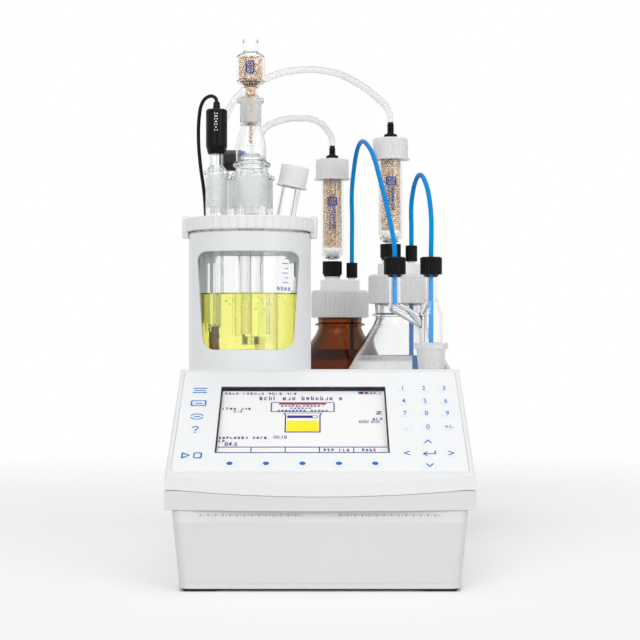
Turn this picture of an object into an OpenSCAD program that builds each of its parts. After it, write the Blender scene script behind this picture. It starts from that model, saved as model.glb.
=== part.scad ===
// Coulometric automatic titrator: console, titration cell, two bottles, hoses and adapter.
// Millimetres. Each sub-part is one module, in its place in the assembly, with Z up and -Y the front.

/* [Console] */
// Width of the console's seam lip
case_width = 205; // [190:0.5:220]
// Depth of the console
case_depth = 315; // [290:1:340]
// Height of the crest between panel and deck
crest_height = 143.5; // [135:0.5:152]
// Height of the deck behind the crest
deck_height = 139; // [130:0.5:142]
// Slope of the operating panel, degrees from level
panel_slope = 28.6; // [20:0.1:36]
// Shell wall thickness
wall = 2.5; // [2:0.1:4]
// Radius of the console's upright corners
corner_r = 7; // [4:0.5:12]
// Radius of the panel's side edges
edge_r = 2.2; // [1:0.1:4]
// How far the front bulges out in plan
front_bulge = 6.8; // [2:0.1:12]
// Height of the seam between upper and lower housing at the sides
seam_height = 67; // [60:0.5:74]
// Shadow gap at the seam
seam_gap = 0.4; // [0.2:0.1:1]
// Lower edge of the lower housing's lip
lip_bottom = 54; // [50:0.5:58]
// Draft: half width at the floor edge
base_half_width = 93.7; // [88:0.1:98]
// Half width of the tub just under the vent band
tub_half_width = 97.2; // [92:0.1:100]
// Half width of the recess under the lip
recess_half_width = 98.6; // [94:0.1:101]

/* [Vents and feet] */
// Vent hole radius
vent_r = 0.75; // [0.5:0.05:1.2]
// Vent hole pitch
vent_pitch = 4.8; // [2:0.1:6]
// Foot radius
foot_r = 6.8; // [5:0.1:10]
// Foot height
foot_h = 5; // [3:0.5:8]
// Foot distance from the centre plane
foot_x = 84; // [70:1:88]
// Foot centre of the front pair, from the front
foot_front_y = 32; // [24:1:60]
// Foot centre of the rear pair, from the back
foot_back = 27; // [20:1:60]

/* [Panel] */
// Display window width
window_w = 118; // [100:0.5:130]
// Display window height along the slope
window_h = 88; // [70:0.5:96]
// Window centre off the centre plane
window_x = -12; // [-20:0.5:0]
// Lower edge of the window up the slope from the panel's front edge
window_t = 29.2; // [26:0.1:34]
// Depth of the frame behind the window
frame_depth = 5; // [3:0.1:8]
// Keypad overlay thickness
overlay_t = 0.8; // [0.4:0.1:1.2]
// Overlay margin to the panel's sides
overlay_margin = 3.6; // [2:0.1:8]
// Left numeric keys from the window
key_gap = 12.5; // [9:0.1:16]
// Right numeric keys from the console's side
key_side = 13.2; // [10:0.1:18]
// Left keys from the console's side
left_key_side = 16.5; // [10:0.1:20]
// Radius of a key's raised pad
key_r = 4.6; // [3:0.1:6]
// Height of a key's raised pad
key_rise = 0.25; // [0.1:0.05:0.6]

/* [Cell holder] */
// Cell axis X
cell_x = -54; // [-60:0.5:-45]
// Cell axis Y
cell_y = 190; // [180:0.5:200]
// Holder outer radius
holder_r = 47; // [44:0.1:50]
// Holder wall
holder_wall = 3; // [2:0.1:4]
// Holder height above the deck
holder_h = 107.5; // [95:0.5:120]
// Window half width at its top
holder_win_top = 38.2; // [34:0.1:41]
// Window half width at its bottom
holder_win_bottom = 34.4; // [30:0.1:38]
// Window sill above the deck
holder_sill = 18.7; // [12:0.1:26]
// Window height
holder_win_h = 73.6; // [60:0.1:80]

/* [Cell vessel] */
// Vessel outer radius
vessel_r = 42; // [38:0.1:43.5]
// Vessel glass thickness
vessel_wall = 2.5; // [1.5:0.1:3.5]
// Vessel floor above the deck
vessel_lift = 9; // [6:0.5:12]
// Flange radius of vessel and lid
flange_r = 46; // [44:0.1:48]
// Vessel flange thickness
vessel_flange_t = 3; // [2:0.1:5]
// Gasket thickness
gasket_t = 1.5; // [1:0.1:3]
// Lid flange thickness
lid_flange_t = 3.5; // [2:0.1:5]
// Crown of the lid above its flange
lid_crown = 4.5; // [2:0.1:8]

/* [Lock ring] */
// Ring outer radius
ring_r = 49.5; // [48:0.1:52]
// Ring bottom above the holder's rim
ring_gap = 1.2; // [0.8:0.1:2]
// Ring height
ring_h = 10.3; // [8:0.1:14]
// Ring top opening radius
ring_open_r = 40; // [38:0.1:43]
// Grip outer radius
grip_r = 52.1; // [51:0.1:55]
// Number of small ribs
ring_ribs = 48; // [24:1:96]

/* [Lid necks] */
// Main neck socket mouth radius
main_mouth_r = 14.6; // [14:0.1:15]
// Main neck outer radius
main_neck_r = 17.4; // [16.8:0.1:18]
// Main neck flange radius
main_flange_r = 19; // [18:0.1:20]
// Main neck length above the lid's flange
main_len = 37.5; // [34:0.5:45]
// Main neck behind the cell axis
main_dy = 10; // [8:0.5:12]
// Front neck socket mouth radius
front_mouth_r = 9.4; // [9:0.1:10]
// Front neck outer radius
front_neck_r = 12.2; // [11.6:0.1:12.8]
// Front neck flange radius
front_flange_r = 14.2; // [13.4:0.1:14.6]
// Front neck length above the lid's flange
front_len = 44.5; // [40:0.5:49]
// Front neck off the cell axis in X
front_dx = 2.4; // [-4:0.1:6]
// Front neck before the cell axis
front_dy = -24; // [-26:0.5:-22]
// Detector neck socket mouth radius
det_mouth_r = 7.25; // [7:0.05:7.5]
// Detector neck outer radius
det_neck_r = 8.5; // [8.2:0.1:9]
// Detector neck flange radius
det_flange_r = 9.75; // [9.3:0.05:10.5]
// Detector neck length above the lid's flange
det_len = 40.1; // [36:0.1:45]
// Detector neck off the cell axis in X
det_dx = -25.4; // [-27:0.1:-24]
// Detector neck off the cell axis in Y
det_dy = -6; // [-8:0.5:-4]
// Septum port outer radius
port_r = 7.35; // [6:0.05:8]
// Septum port lean, degrees
port_lean = 11; // [5:0.5:15]
// Septum port off the cell axis in X at the lid
port_dx = 27; // [25:0.5:29]
// Septum port length from the lid
port_len = 38; // [32:0.5:42]
// Septum cap radius
sept_cap_r = 10.85; // [10:0.05:12]
// Septum cap height
sept_cap_h = 16.2; // [12:0.1:20]

/* [Generator] */
// Generator bulb radius
gen_bulb_r = 11.9; // [11:0.1:12.4]
// Bulb height above the main neck, to where it starts to taper
gen_bulb_h = 23; // [19:0.5:28]
// Length of the bulb's taper
gen_taper = 17; // [13:0.5:21]
// Height of the side arm above the main neck
gen_arm_h = 14.5; // [12:0.5:16]
// Reach of the side arm behind the generator's axis
gen_arm_len = 21.5; // [20:0.5:24]
// Upper socket outer radius
gen_socket_r = 8.4; // [8.2:0.05:9]
// Upper socket flange radius
gen_flange_r = 10.6; // [10:0.1:12]
// Upper socket height above the taper
gen_socket_h = 21; // [16:0.5:28]
// Lower end of the generator above the vessel's underside
gen_foot_h = 20; // [18:0.5:28]
// Outer radius of the generator's lower tube
gen_tube_r = 10; // [8:0.1:12]

/* [Drying tube] */
// Body radius
dry_r = 10.9; // [9:0.1:12]
// Body bottom above the generator
dry_lift = 10.7; // [8:0.1:16]
// Body height
dry_h = 23.1; // [18:0.1:30]
// Lower neck radius
dry_neck_r = 5.75; // [5:0.05:6.5]
// Height of the inlet stub above the body
dry_stub_h = 11.2; // [7:0.1:16]
// Inlet stub radius
dry_stub_r = 5.85; // [5:0.05:7]
// Reach of the drying tube below the generator's top
dry_reach = 37; // [23:0.5:41]
// Lift out travel
dry_travel = 60; // [40:1:90]

/* [Detector] */
// Detector stem radius
stem_r = 5.15; // [4:0.05:6]
// Head radius
head_r = 8.2; // [7:0.1:9]
// Head bottom above the neck
head_lift = 12.7; // [8:0.1:18]
// Head height
head_h = 34.4; // [28:0.1:42]
// Lower end of the stem above the vessel's underside
stem_foot_h = 28; // [22:0.5:37]
// Detector cable diameter
det_cable_d = 2.8; // [2:0.1:4]

/* [Bottles] */
// Amber bottle axis X
amber_x = 18.7; // [14:0.1:24]
// Amber bottle axis behind the console's back
amber_dy = 139; // [125:1:155]
// Amber bottle radius
amber_r = 47.5; // [44:0.1:52]
// Amber bottle neck rim height
amber_rim = 203; // [195:0.5:210]
// Clear bottle axis X
clear_x = 69.6; // [64:0.1:75]
// Clear bottle axis behind the console's back
clear_dy = 55; // [51.5:0.5:65]
// Clear bottle radius
clear_r = 50.5; // [46:0.1:52]
// Clear bottle neck rim height
clear_rim = 214.7; // [206:0.1:220]
// Height of the bottles' straight wall
shoulder_z = 128; // [120:1:136]
// Amber bottle neck height
amber_neck_h = 31; // [29:0.1:35]
// Clear bottle neck height
clear_neck_h = 34.7; // [30:0.1:38]
// Bottle glass thickness
bottle_wall = 2.4; // [1.8:0.1:3.5]
// Bottle neck thread radius
neck_r = 22; // [20:0.1:22.4]
// Screw ring radius
screw_r = 26.8; // [25:0.1:28]
// Screw ring height
screw_h = 25.3; // [20:0.1:28]

/* [Bottle driers] */
// Drier glass radius
drier_r = 10.5; // [9:0.1:12]
// Drier glass wall
drier_wall = 1.2; // [0.8:0.1:1.6]
// Drier cap radius
drier_cap_r = 15.4; // [13:0.1:17]
// Drier off the bottle axis
drier_dx = -7.2; // [-9:0.1:-6]
// Hose port off the bottle axis
hose_dx = 11.2; // [10.6:0.1:12]
// Amber drier glass bottom above the rim
amber_dr_lift = 35.5; // [34.5:0.1:38]
// Amber drier glass length
amber_dr_len = 91.5; // [84:0.5:99]
// Clear drier glass bottom above the rim
clear_dr_lift = 34.5; // [34.5:0.1:38]
// Clear drier glass length
clear_dr_len = 90.5; // [84:0.5:99]
// Barb height above the amber drier
amber_barb = 15; // [12:0.1:18]
// Barb height above the clear drier
clear_barb = 16.3; // [12:0.1:18]
// Drier nut radius
drier_nut_r = 9.15; // [8.9:0.05:9.5]
// Hose nut radius
hose_nut_r = 5.2; // [4.9:0.05:5.6]
// Hose nut height
hose_nut_h = 14; // [10:0.5:16]
// Blue hose diameter
blue_d = 4; // [3:0.1:4.4]
// Air hose diameter
air_d = 6; // [5:0.1:7]

/* [Exchange adapter] */
// Adapter main axis X
adapter_x = 91; // [86:0.5:92]
// Adapter axis Y
adapter_y = 266; // [255:1:280]
// Distance between the adapter's two necks
adapter_span = 29.7; // [26:0.1:32]
// Adapter cap radius
adapter_cap_r = 9; // [8.6:0.1:9.6]
// Adapter cap height
adapter_cap_h = 14.3; // [12:0.1:17]
// Lower face of the adapter caps above the deck
adapter_cap_up = 78.9; // [73:0.1:84]
// Height of the adapter's elbow above the deck
bend_up = 52.5; // [46:0.5:56]
// Slant of the adapter's arm, degrees from upright
bend_a = 60; // [52:1:66]
// Adapter main tube radius
adapter_tube_r = 9.3; // [8.5:0.1:9.6]
// Adapter neck radius
adapter_neck_r = 5; // [4.4:0.1:5.6]
// Parking socket height
park_h = 23; // [19:0.5:27]
// Parking socket mouth radius
park_mouth = 9.5; // [9:0.1:10.5]

/* [Fits] */
// Running clearance of every turning or sliding piece
run_gap = 0.35; // [0.3:0.05:0.5]
// Clearance of glass joints and plugs that stay put
seat_gap = 0.15; // [0.1:0.05:0.3]

/* [Stirrer] */
// Magnet rotor radius
rotor_r = 20; // [15:0.5:22]
// Rotor thickness
rotor_t = 6; // [4:0.5:8]
// Rotor's distance under the deck plate
rotor_drop = 1.5; // [1:0.1:3]
// Stir bar length
stirbar_len = 28; // [20:1:36]
// Stir bar radius
stirbar_r = 3.2; // [2.5:0.1:4]

/* [Rear] */
// Rear panel edge from the console's side
rear_side = 14.5; // [13.5:0.5:20]
// Rear panel bottom
rear_z0 = 74; // [72:0.5:78]
// Rear panel top
rear_z1 = 126; // [120:0.5:132]
// Rocker switch throw, degrees each way
rocker_throw = 9; // [5:1:12]
// Rocker switch X
rocker_x = 32; // [24:1:40]
// Power socket X
power_x = 64; // [56:1:70]
// Detector socket X
det_sock_x = -75; // [-80:1:-66]
// Height of the socket row
sock_z = 100; // [95:1:108]

/* [Air pump] */
// Air nozzle spacing
nozzle_span = 24; // [20:1:30]
// Left air nozzle from the console's side
nozzle_side = 16.5; // [14.5:0.5:22]
// Air nozzles from the console's back
nozzle_back = 25; // [21:1:40]
// Nozzle height above the deck
nozzle_h = 11; // [6:0.5:17]
// Air pump height
pump_h = 28; // [20:1:34]
// Air pump top under the deck
pump_drop = 15; // [12:0.5:20]

/* [Hidden] */

C = 96;
// bosses that screw the two housings together
hw = case_width / 2;
boss_at = [[-40, 18], [40, 18], [-hw + 16.5, case_depth - 65], [hw - 16.5, case_depth - 65]];
amber_y = case_depth + amber_dy;
clear_y = case_depth + clear_dy;
lip_gap_x = 1;                                         // the lip stands out this much over the lock ring's reach
// the origin is the centre of the bounding box, on the floor
x_lo = cell_x - grip_r;
x_hi = clear_x + clear_r;
y_hi = amber_y + amber_r;
mid_x = (x_lo + x_hi) / 2;
mid_y = y_hi / 2;

slope_tan = tan(panel_slope);
crest_y = 131;
panel_y0 = crest_y - (crest_height - 75.7) / slope_tan;  // where the panel meets the seam band at the sides
panel_z0 = 75.7;
slope_len = (crest_y - panel_y0) / cos(panel_slope);
bulge_r = (95 * 95 + front_bulge * front_bulge) / (2 * front_bulge);
holder_top = deck_height + holder_h;
vessel_z0 = deck_height + vessel_lift;
flange_z = holder_top;
gasket_z = flange_z + vessel_flange_t;
lid_z = gasket_z + gasket_t;
lid_top = lid_z + lid_flange_t;
crown_z = lid_top + lid_crown;
ring_z0 = holder_top + ring_gap;
ring_z1 = ring_z0 + ring_h;
main_top = lid_top + main_len;
front_top = lid_top + front_len;
det_top = lid_top + det_len;
gen_bulb_top = main_top + gen_bulb_h;
gen_neck_z = gen_bulb_top + gen_taper;
gen_top = gen_neck_z + gen_socket_h;
gen_arm_z = main_top + gen_arm_h;
gen_foot_z = vessel_z0 + gen_foot_h;
dry_z0 = gen_top + dry_lift;
dry_z1 = dry_z0 + dry_h;
dry_top = dry_z1 + dry_stub_h;
dry_tip_z = gen_top - dry_reach;
head_z0 = det_top + head_lift;
head_z1 = head_z0 + head_h;
stem_z0 = vessel_z0 + stem_foot_h;
adapter_cap_z = deck_height + adapter_cap_up;
bend_z = deck_height + bend_up;
park_top = deck_height + park_h;
nozzle_x = -hw + nozzle_side;
nozzle_y = case_depth - nozzle_back;
nozzle_top = deck_height + nozzle_h;
pump_z1 = deck_height - pump_drop;
pump_z0 = pump_z1 - pump_h;
rear_w = hw - rear_side;
foot_rear_y = case_depth - foot_back;
board_back = case_depth - 57;
main_x = cell_x;
main_y = cell_y + main_dy;
front_x = cell_x + front_dx;
front_y = cell_y + front_dy;
det_x = cell_x + det_dx;
det_y = cell_y + det_dy;
port_x = cell_x + port_dx;
rotor_z1 = deck_height - wall - rotor_drop;
rotor_z0 = rotor_z1 - rotor_t;
adapter_lx = adapter_x - adapter_span;
key_board_t = 1.6;
disp_n = -overlay_t - 0.2 - frame_depth - 2;           // back of the display frame, measured off the panel
disp_posts = [for (x = [window_x - 65, window_x + 58], t = [24, 122]) [x, t]];
screw_bore = 1.3;
kb_x0 = window_x + window_w / 2 + 4;
kb_x = [kb_x0 + 3, hw - 7.5];
// key columns between the window and the console's side
key_c0 = window_x + window_w / 2 + key_gap;
key_c2 = hw - key_side;
key_c1 = (key_c0 + key_c2) / 2 + 0.2;

module place() translate([-mid_x, -mid_y, 0]) children();
module on_slope() translate([0, panel_y0, panel_z0]) rotate([panel_slope, 0, 0]) children();
module at(x, y, z = 0) translate([x, y, z]) children();
module cyl(r, z0, z1) translate([0, 0, z0]) cylinder(r = r, h = z1 - z0, $fn = C);
module cone(r0, r1, z0, z1) translate([0, 0, z0]) cylinder(r1 = r0, r2 = r1, h = z1 - z0, $fn = C);
module pipe(ro, ri, z0, z1) difference() { cyl(ro, z0, z1); cyl(ri, z0 - 1, z1 + 1); }
module box(x0, y0, z0, x1, y1, z1) translate([x0, y0, z0]) cube([x1 - x0, y1 - y0, z1 - z0]);
// a round solid from a profile of [radius, height] points
module turned(pts) rotate_extrude($fn = C) polygon(pts);
module along_x(len, r) rotate([0, 90, 0]) cylinder(r = r, h = len, $fn = C);
module along_y(len, r) rotate([-90, 0, 0]) cylinder(r = r, h = len, $fn = C);
module rrect(x0, y0, x1, y1, r) {
  translate([x0 + r, y0]) square([x1 - x0 - 2 * r, y1 - y0]);
  translate([x0, y0 + r]) square([x1 - x0, y1 - y0 - 2 * r]);
  for (x = [x0 + r, x1 - r], y = [y0 + r, y1 - r]) translate([x, y]) circle(r = r, $fn = 48);
}
// arc points from angle a0 to a1 about c
function arc(c, r, a0, a1, n = 6) = [for (i = [0:n]) [c[0] + r * cos(a0 + (a1 - a0) * i / n), c[1] + r * sin(a0 + (a1 - a0) * i / n)]];

// ---------- swept cords: rings of points set square to the route ----------
function unit(v) = v / norm(v);
// Catmull-Rom point between b and c
function cr(a, b, c, d, t) = 0.5 * ((2 * b) + (c - a) * t + (2 * a - 5 * b + 4 * c - d) * t * t + (3 * b - a - 3 * c + d) * t * t * t);
function route(p, k) = [for (i = [0:len(p) - 2]) for (j = [0:k - 1])
    cr(p[max(i - 1, 0)], p[i], p[i + 1], p[min(i + 2, len(p) - 1)], j / k), p[len(p) - 1]];
function heading(p, i) = unit(p[min(i + 1, len(p) - 1)] - p[max(i - 1, 0)]);
// carries the first side vector along the route without twist
function carry(p, i, s) = let (t = heading(p, i), q = s - t * (s * t)) unit(q);
function sides(p, s0, i = 0) = i >= len(p) ? [] : let (s = carry(p, i, s0)) concat([s], sides(p, s, i + 1));
module cord(pts, d, first, last, n = 10, k = 2) {
  p = route(pts, k);
  s = sides(p, [1, 0.13, 0.07]);
  rings = [for (i = [0:len(p) - 1])
    let (t = i == 0 ? first : i == len(p) - 1 ? last : heading(p, i), u = unit(s[i] - t * (s[i] * t)), w = cross(t, u))
    for (j = [0:n - 1]) p[i] + d / 2 * (cos(360 * j / n) * u + sin(360 * j / n) * w)];
  m = len(p);
  faces = concat([[for (j = [0:n - 1]) n - 1 - j]], [[for (j = [0:n - 1]) (m - 1) * n + j]],
    [for (i = [0:m - 2]) for (j = [0:n - 1]) each
      [[i * n + j, i * n + (j + 1) % n, (i + 1) * n + (j + 1) % n], [i * n + j, (i + 1) * n + (j + 1) % n, (i + 1) * n + j]]]);
  polyhedron(points = rings, faces = [for (f = faces) [for (q = [len(f) - 1:-1:0]) f[q]]], convexity = 10);
}

// ---------- console ----------
module plan(inset, z0, z1) translate([0, 0, z0]) linear_extrude(z1 - z0) intersection() {
  rrect(-hw + inset, -40, hw - inset, case_depth - inset, corner_r);
  translate([0, bulge_r + inset]) circle(r = bulge_r, $fn = 360);
  translate([0, inset]) rrect(-hw + inset, 0, hw - inset, case_depth + 30, corner_r);
}
// side view of everything above the seam; off moves it inwards
module upper_side(off) rotate([90, 0, 90]) translate([0, 0, -hw - 5]) linear_extrude(2 * hw + 10) polygon(concat(
  [[-5, seam_height - (panel_y0 + 5) * slope_tan], [panel_y0, seam_height], [case_depth + 5, seam_height], [case_depth + 5, deck_height - off]],
  [[crest_y + 7, deck_height - off], [crest_y + 5, crest_height - off - 1.4]],
  [[crest_y + 3.2, crest_height - off - 0.2], [crest_y + 1.2, crest_height - off], [crest_y - 0.6, crest_height - off - 0.25]],
  [[-5, panel_z0 - off / cos(panel_slope) - (panel_y0 + 5) * slope_tan]]));
// softens the panel's side edges, square to the slope, up to the crest
module edge_soften() {
  intersection() {
    translate([0, panel_y0, panel_z0]) rotate([90 + panel_slope, 0, 0]) translate([0, 0, -slope_len - 40]) linear_extrude(slope_len + 80)
      rrect(-hw, -130, hw, 0, edge_r);
    box(-hw - 5, -20, 0, hw + 5, crest_y + 1.2, 200);
  }
  intersection() {
    translate([0, crest_y, 0]) rotate([90, 0, 180]) linear_extrude(case_depth) rrect(-hw, 0, hw, crest_height, edge_r);
    box(-hw - 5, crest_y + 1.2, 0, hw + 5, case_depth + 5, 200);
  }
}
module upper_housing() color([0.93, 0.94, 0.95]) place() difference() {
  union() {
    difference() {
      intersection() { plan(0, 40, 160); upper_side(0); edge_soften(); }
      intersection() { plan(wall, 30, 160); upper_side(wall); }
      // seam opening below the slanted seam plane
      box(-hw - 5, panel_y0, 30, hw + 5, case_depth + 5, seam_height);
    }
    // posts for the stirrer under the deck, for the keyboard and for the display
    for (a = [30, 150, 270]) at(cell_x + 27 * cos(a), cell_y + 27 * sin(a)) cyl(4, rotor_z0 - 9, deck_height - wall + 0.5);
    on_slope() for (x = kb_x, t = [20, 118]) at(x, t) cyl(3, -7, -wall + 0.5);
    on_slope() for (q = disp_posts) at(q[0], q[1]) cyl(2.6, disp_n + 2, -wall + 0.5);
    for (q = boss_at) at(q[0], q[1]) cyl(4.5, seam_height, q[1] < 100 ? panel_z0 + (q[1] - 4.5 - panel_y0) * slope_tan - 1.5 : deck_height - wall + 0.5);
  }
  on_slope() {
    translate([0, 0, -overlay_t]) linear_extrude(20) rrect(-hw + overlay_margin, 6, hw - overlay_margin, slope_len - 3.6, 3);
    translate([0, 0, -20]) linear_extrude(40) rrect(window_x - window_w / 2 - 2, window_t - 2, window_x + window_w / 2 + 2, window_t + window_h + 2, 1.5);
    for (x = kb_x, t = [20, 118]) at(x, t) cyl(screw_bore, -8, -3.3);
    for (q = disp_posts) at(q[0], q[1]) cyl(screw_bore, -12, -2.9);
  }
  for (a = [30, 150, 270]) at(cell_x + 27 * cos(a), cell_y + 27 * sin(a)) cyl(screw_bore, rotor_z0 - 10, deck_height - wall - 3);
  for (q = boss_at) at(q[0], q[1]) cyl(1.6, seam_height - 1, seam_height + (q[1] < 100 ? 8 : 14));
  box(-rear_w, case_depth - wall - 1, rear_z0, rear_w, case_depth + 1, rear_z1);
  for (i = [0, 1]) at(nozzle_x + i * nozzle_span, nozzle_y) cyl(4, deck_height - 10, deck_height + 5);
}
module slab32(z, half, front, back) at(0, 0, z) linear_extrude(0.01) {
  r = corner_r + 1;
  hull() for (x = [-half + r, half - r], y = [front + r, back - r]) translate([x, y]) circle(r = r, $fn = 32);
}
module vent_row(x0, x1) for (x = [x0:vent_pitch:x1]) translate([x, -5, 50.5]) along_y(18, vent_r);
module lower_side() rotate([90, 0, 90]) translate([0, 0, -hw - 5]) linear_extrude(2 * hw + 10) polygon([
  [-5, seam_height - seam_gap - (panel_y0 + 5) * slope_tan], [panel_y0, seam_height - seam_gap], [case_depth + 5, seam_height - seam_gap],
  [case_depth + 5, lip_bottom], [-5, lip_bottom]]);
module lower_housing() color([0.93, 0.94, 0.95]) place() difference() {
  union() {
    difference() {
      union() {
        hull() { slab32(foot_h, base_half_width, 10, case_depth - 6); slab32(46, tub_half_width, 4.5, case_depth - 3.6); }
        hull() { slab32(46, tub_half_width, 4.5, case_depth - 3.6); slab32(lip_bottom + 2, recess_half_width, 8.4, case_depth - 2.4); }
      }
      box(-base_half_width + wall, 10 + wall, foot_h + wall, base_half_width - wall, case_depth - 6 - wall, 60);
    }
    difference() {
      intersection() { plan(0, 40, 100); lower_side(); }
      intersection() { plan(wall + 3, 30, 100); box(-hw, 10 + wall, 30, hw, case_depth, 100); }
    }
    for (q = boss_at) at(q[0], q[1]) cyl(4.5, foot_h + 1, seam_height - seam_gap);
    for (x = [-70, 70], y = [70, board_back - 8]) at(x, y) cyl(3.5, foot_h + 1, 16);
  }
  vent_row(-78.4, -11.8);
  vent_row(13.4, 80.3);
  for (x = [-foot_x, foot_x], y = [foot_front_y, foot_rear_y]) at(x, y) cyl(2.2, foot_h - 1, foot_h + wall + 1);
  for (q = boss_at) at(q[0], q[1]) { cyl(1.9, foot_h - 1, seam_height + 1); cyl(3.6, foot_h - 1, 30); }
  for (x = [-70, 70], y = [70, board_back - 8]) at(x, y) cyl(screw_bore, 9, 17);
}
key_pos = concat(
  [for (i = [0:2], j = [0:3]) [[key_c0, key_c1, key_c2][i], [114, 96.2, 79.6, 61.6][j]]],
  [[key_c1 - 1.1, 43], [key_c1 - 1.1, 28.6], [key_c0 - 0.8, 28.6], [key_c2 - 1, 28.6], [key_c1 - 1.5, 13.9]],
  [for (t = [111, 93.4, 75.3, 58.4, 25.8]) [-hw + left_key_side, t]],
  [for (x = [-48.3, -24, 0.3, 24.6, 48.8]) [window_x + x, 16]]);
module keypad_overlay() color([0.96, 0.97, 0.98]) place() on_slope() union() {
  translate([0, 0, -overlay_t]) linear_extrude(overlay_t) difference() {
    rrect(-hw + overlay_margin + 0.2, 6.2, hw - overlay_margin - 0.2, slope_len - 3.8, 2.8);
    rrect(window_x - window_w / 2 - 0.1, window_t - 0.1, window_x + window_w / 2 + 0.1, window_t + window_h + 0.1, 1);
  }
  for (p = key_pos) at(p[0], p[1]) cyl(key_r, -overlay_t + 0.1, key_rise);
}
module display_lens() color([0.8, 0.85, 0.9, 0.35]) place() on_slope() translate([0, 0, -overlay_t - 0.2]) linear_extrude(overlay_t)
  rrect(window_x - window_w / 2 + 0.05, window_t + 0.05, window_x + window_w / 2 - 0.05, window_t + window_h - 0.05, 0.9);
module display_bezel() color([0.06, 0.06, 0.07]) place() on_slope() difference() {
  union() {
    translate([0, 0, -overlay_t - 0.2 - frame_depth]) linear_extrude(frame_depth)
      rrect(window_x - window_w / 2 - 1.8, window_t - 1.8, window_x + window_w / 2 + 1.8, window_t + window_h + 1.8, 1.4);
    translate([0, 0, -overlay_t - 0.2 - frame_depth - 2]) linear_extrude(2)
      rrect(window_x - window_w / 2 - 8, window_t - 8, window_x + window_w / 2 + 3, window_t + window_h + 8, 3);
  }
  translate([0, 0, -20]) linear_extrude(40) rrect(window_x - window_w / 2 + 0.6, window_t + 0.6, window_x + window_w / 2 - 0.6, window_t + window_h - 0.6, 0.5);
  for (q = disp_posts) at(q[0], q[1]) cyl(1.5, -12, 0);
}
module display_module() color([0.75, 0.78, 0.8]) place() on_slope() difference() {
  union() {
    translate([0, 0, disp_n - 6]) linear_extrude(6)
      rrect(window_x - window_w / 2 - 3, window_t - 3, window_x + window_w / 2 + 3, window_t + window_h + 3, 1.5);
    translate([0, 0, disp_n - 1.6]) linear_extrude(1.6)
      rrect(window_x - window_w / 2 - 9, window_t - 9, window_x + window_w / 2 + 3, window_t + window_h + 9, 1.5);
    translate([0, 0, disp_n]) linear_extrude(2.6)
      rrect(window_x - window_w / 2 + 0.8, window_t + 0.8, window_x + window_w / 2 - 0.8, window_t + window_h - 0.8, 0.4);
  }
  for (q = disp_posts) at(q[0], q[1]) { cyl(1.5, disp_n - 8, disp_n + 1); cyl(3.4, disp_n - 8, disp_n - 1.6); }
}
module key_board() color([0.1, 0.4, 0.2]) place() on_slope() difference() {
  union() {
    translate([0, 0, -7 - key_board_t]) linear_extrude(key_board_t) rrect(kb_x0, 16, hw - 4.5, 124, 2);
    for (p = key_pos) if (p[0] > 50 && p[1] < 120 && p[1] > 17) at(p[0], p[1]) cyl(3.2, -7, -wall - 0.4);
  }
  for (x = kb_x, t = [20, 118]) at(x, t) cyl(1.6, -12, -4);
}
module main_board() color([0.1, 0.4, 0.2]) place() difference() {
  union() {
    box(-76, 62, 16, 76, board_back, 17.6);
    box(-30, 90, 17.6, -5, 115, 20);
    box(20, 80, 17.6, 50, 100, 20.5);
    box(-60, board_back - 108, 17.6, -45, board_back - 68, 30);
    box(30, board_back - 78, 17.6, 70, board_back - 18, 42);
    for (x = [-20, -5, 10]) at(x, board_back - 48) cyl(6, 17.6, 34);
    box(-64, board_back - 22, 17.6, -20, board_back - 8, 28);
  }
  for (x = [-70, 70], y = [70, board_back - 8]) at(x, y) cyl(1.6, 10, 20);
}
module rear_panel() color([0.85, 0.86, 0.87]) place() difference() {
  union() {
    box(-rear_w + 0.3, case_depth - wall, rear_z0 + 0.3, rear_w - 0.3, case_depth, rear_z1 - 0.3);
    difference() {
      box(-rear_w - 4, case_depth - wall - 1.6, rear_z0 - 4, rear_w + 4, case_depth - wall, rear_z1 + 4);
    }
  }
  translate([det_sock_x, case_depth - 10, sock_z - 15]) along_y(20, 5.2);
  translate([det_sock_x + 24, case_depth - 10, sock_z - 15]) along_y(20, 5.2);
  translate([det_sock_x + 48, case_depth - 10, sock_z - 15]) along_y(20, 4.4);
  box(-16, case_depth - 10, sock_z - 6, 12, case_depth + 2, sock_z + 8);
  box(rocker_x - 8.2, case_depth - 10, sock_z - 12.2, rocker_x + 8.2, case_depth + 2, sock_z + 12.2);
  translate([power_x, case_depth - 10, sock_z]) along_y(20, 6.2);
  for (x = [4 - rear_w, rear_w - 4], z = [rear_z0 + 5, rear_z1 - 5]) translate([x, case_depth - 10, z]) along_y(20, 1.7);
}
module bnc(x) translate([x, case_depth, sock_z - 15]) {
  translate([0, -14, 0]) difference() { along_y(26, 4.8); translate([0, 16, 0]) along_y(12, 3.4); }
  translate([0, -wall - 1.6 - 2, 0]) rotate([-90, 0, 0]) cylinder(r = 7, h = 2, $fn = 6);
  rotate([-90, 0, 0]) cylinder(r = 7, h = 1.6, $fn = 6);
  translate([0, 1, 0]) along_y(10, 1.1);
}
module rear_sockets() color([0.7, 0.71, 0.72]) place() union() {
  bnc(det_sock_x);
  bnc(det_sock_x + 24);
  translate([det_sock_x + 48, case_depth, sock_z - 15]) {
    translate([0, -12, 0]) difference() { along_y(14, 4.2); translate([0, 4, 0]) along_y(12, 2.6); }
    difference() { along_y(1.5, 6); translate([0, -1, 0]) along_y(5, 2.6); }
  }
  difference() { box(-15.7, case_depth - 14, sock_z - 5.7, 11.7, case_depth + 0.6, sock_z + 7.7); box(-12, case_depth - 8, sock_z - 3, 8, case_depth + 3, sock_z + 5); }
}
module power_socket() color([0.08, 0.08, 0.09]) place() translate([power_x, case_depth, sock_z]) difference() {
  union() { translate([0, -14, 0]) along_y(14.5, 6); along_y(1.8, 8); }
  translate([0, -9, 0]) difference() { along_y(16, 4.4); along_y(9.5, 1); }
}
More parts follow.
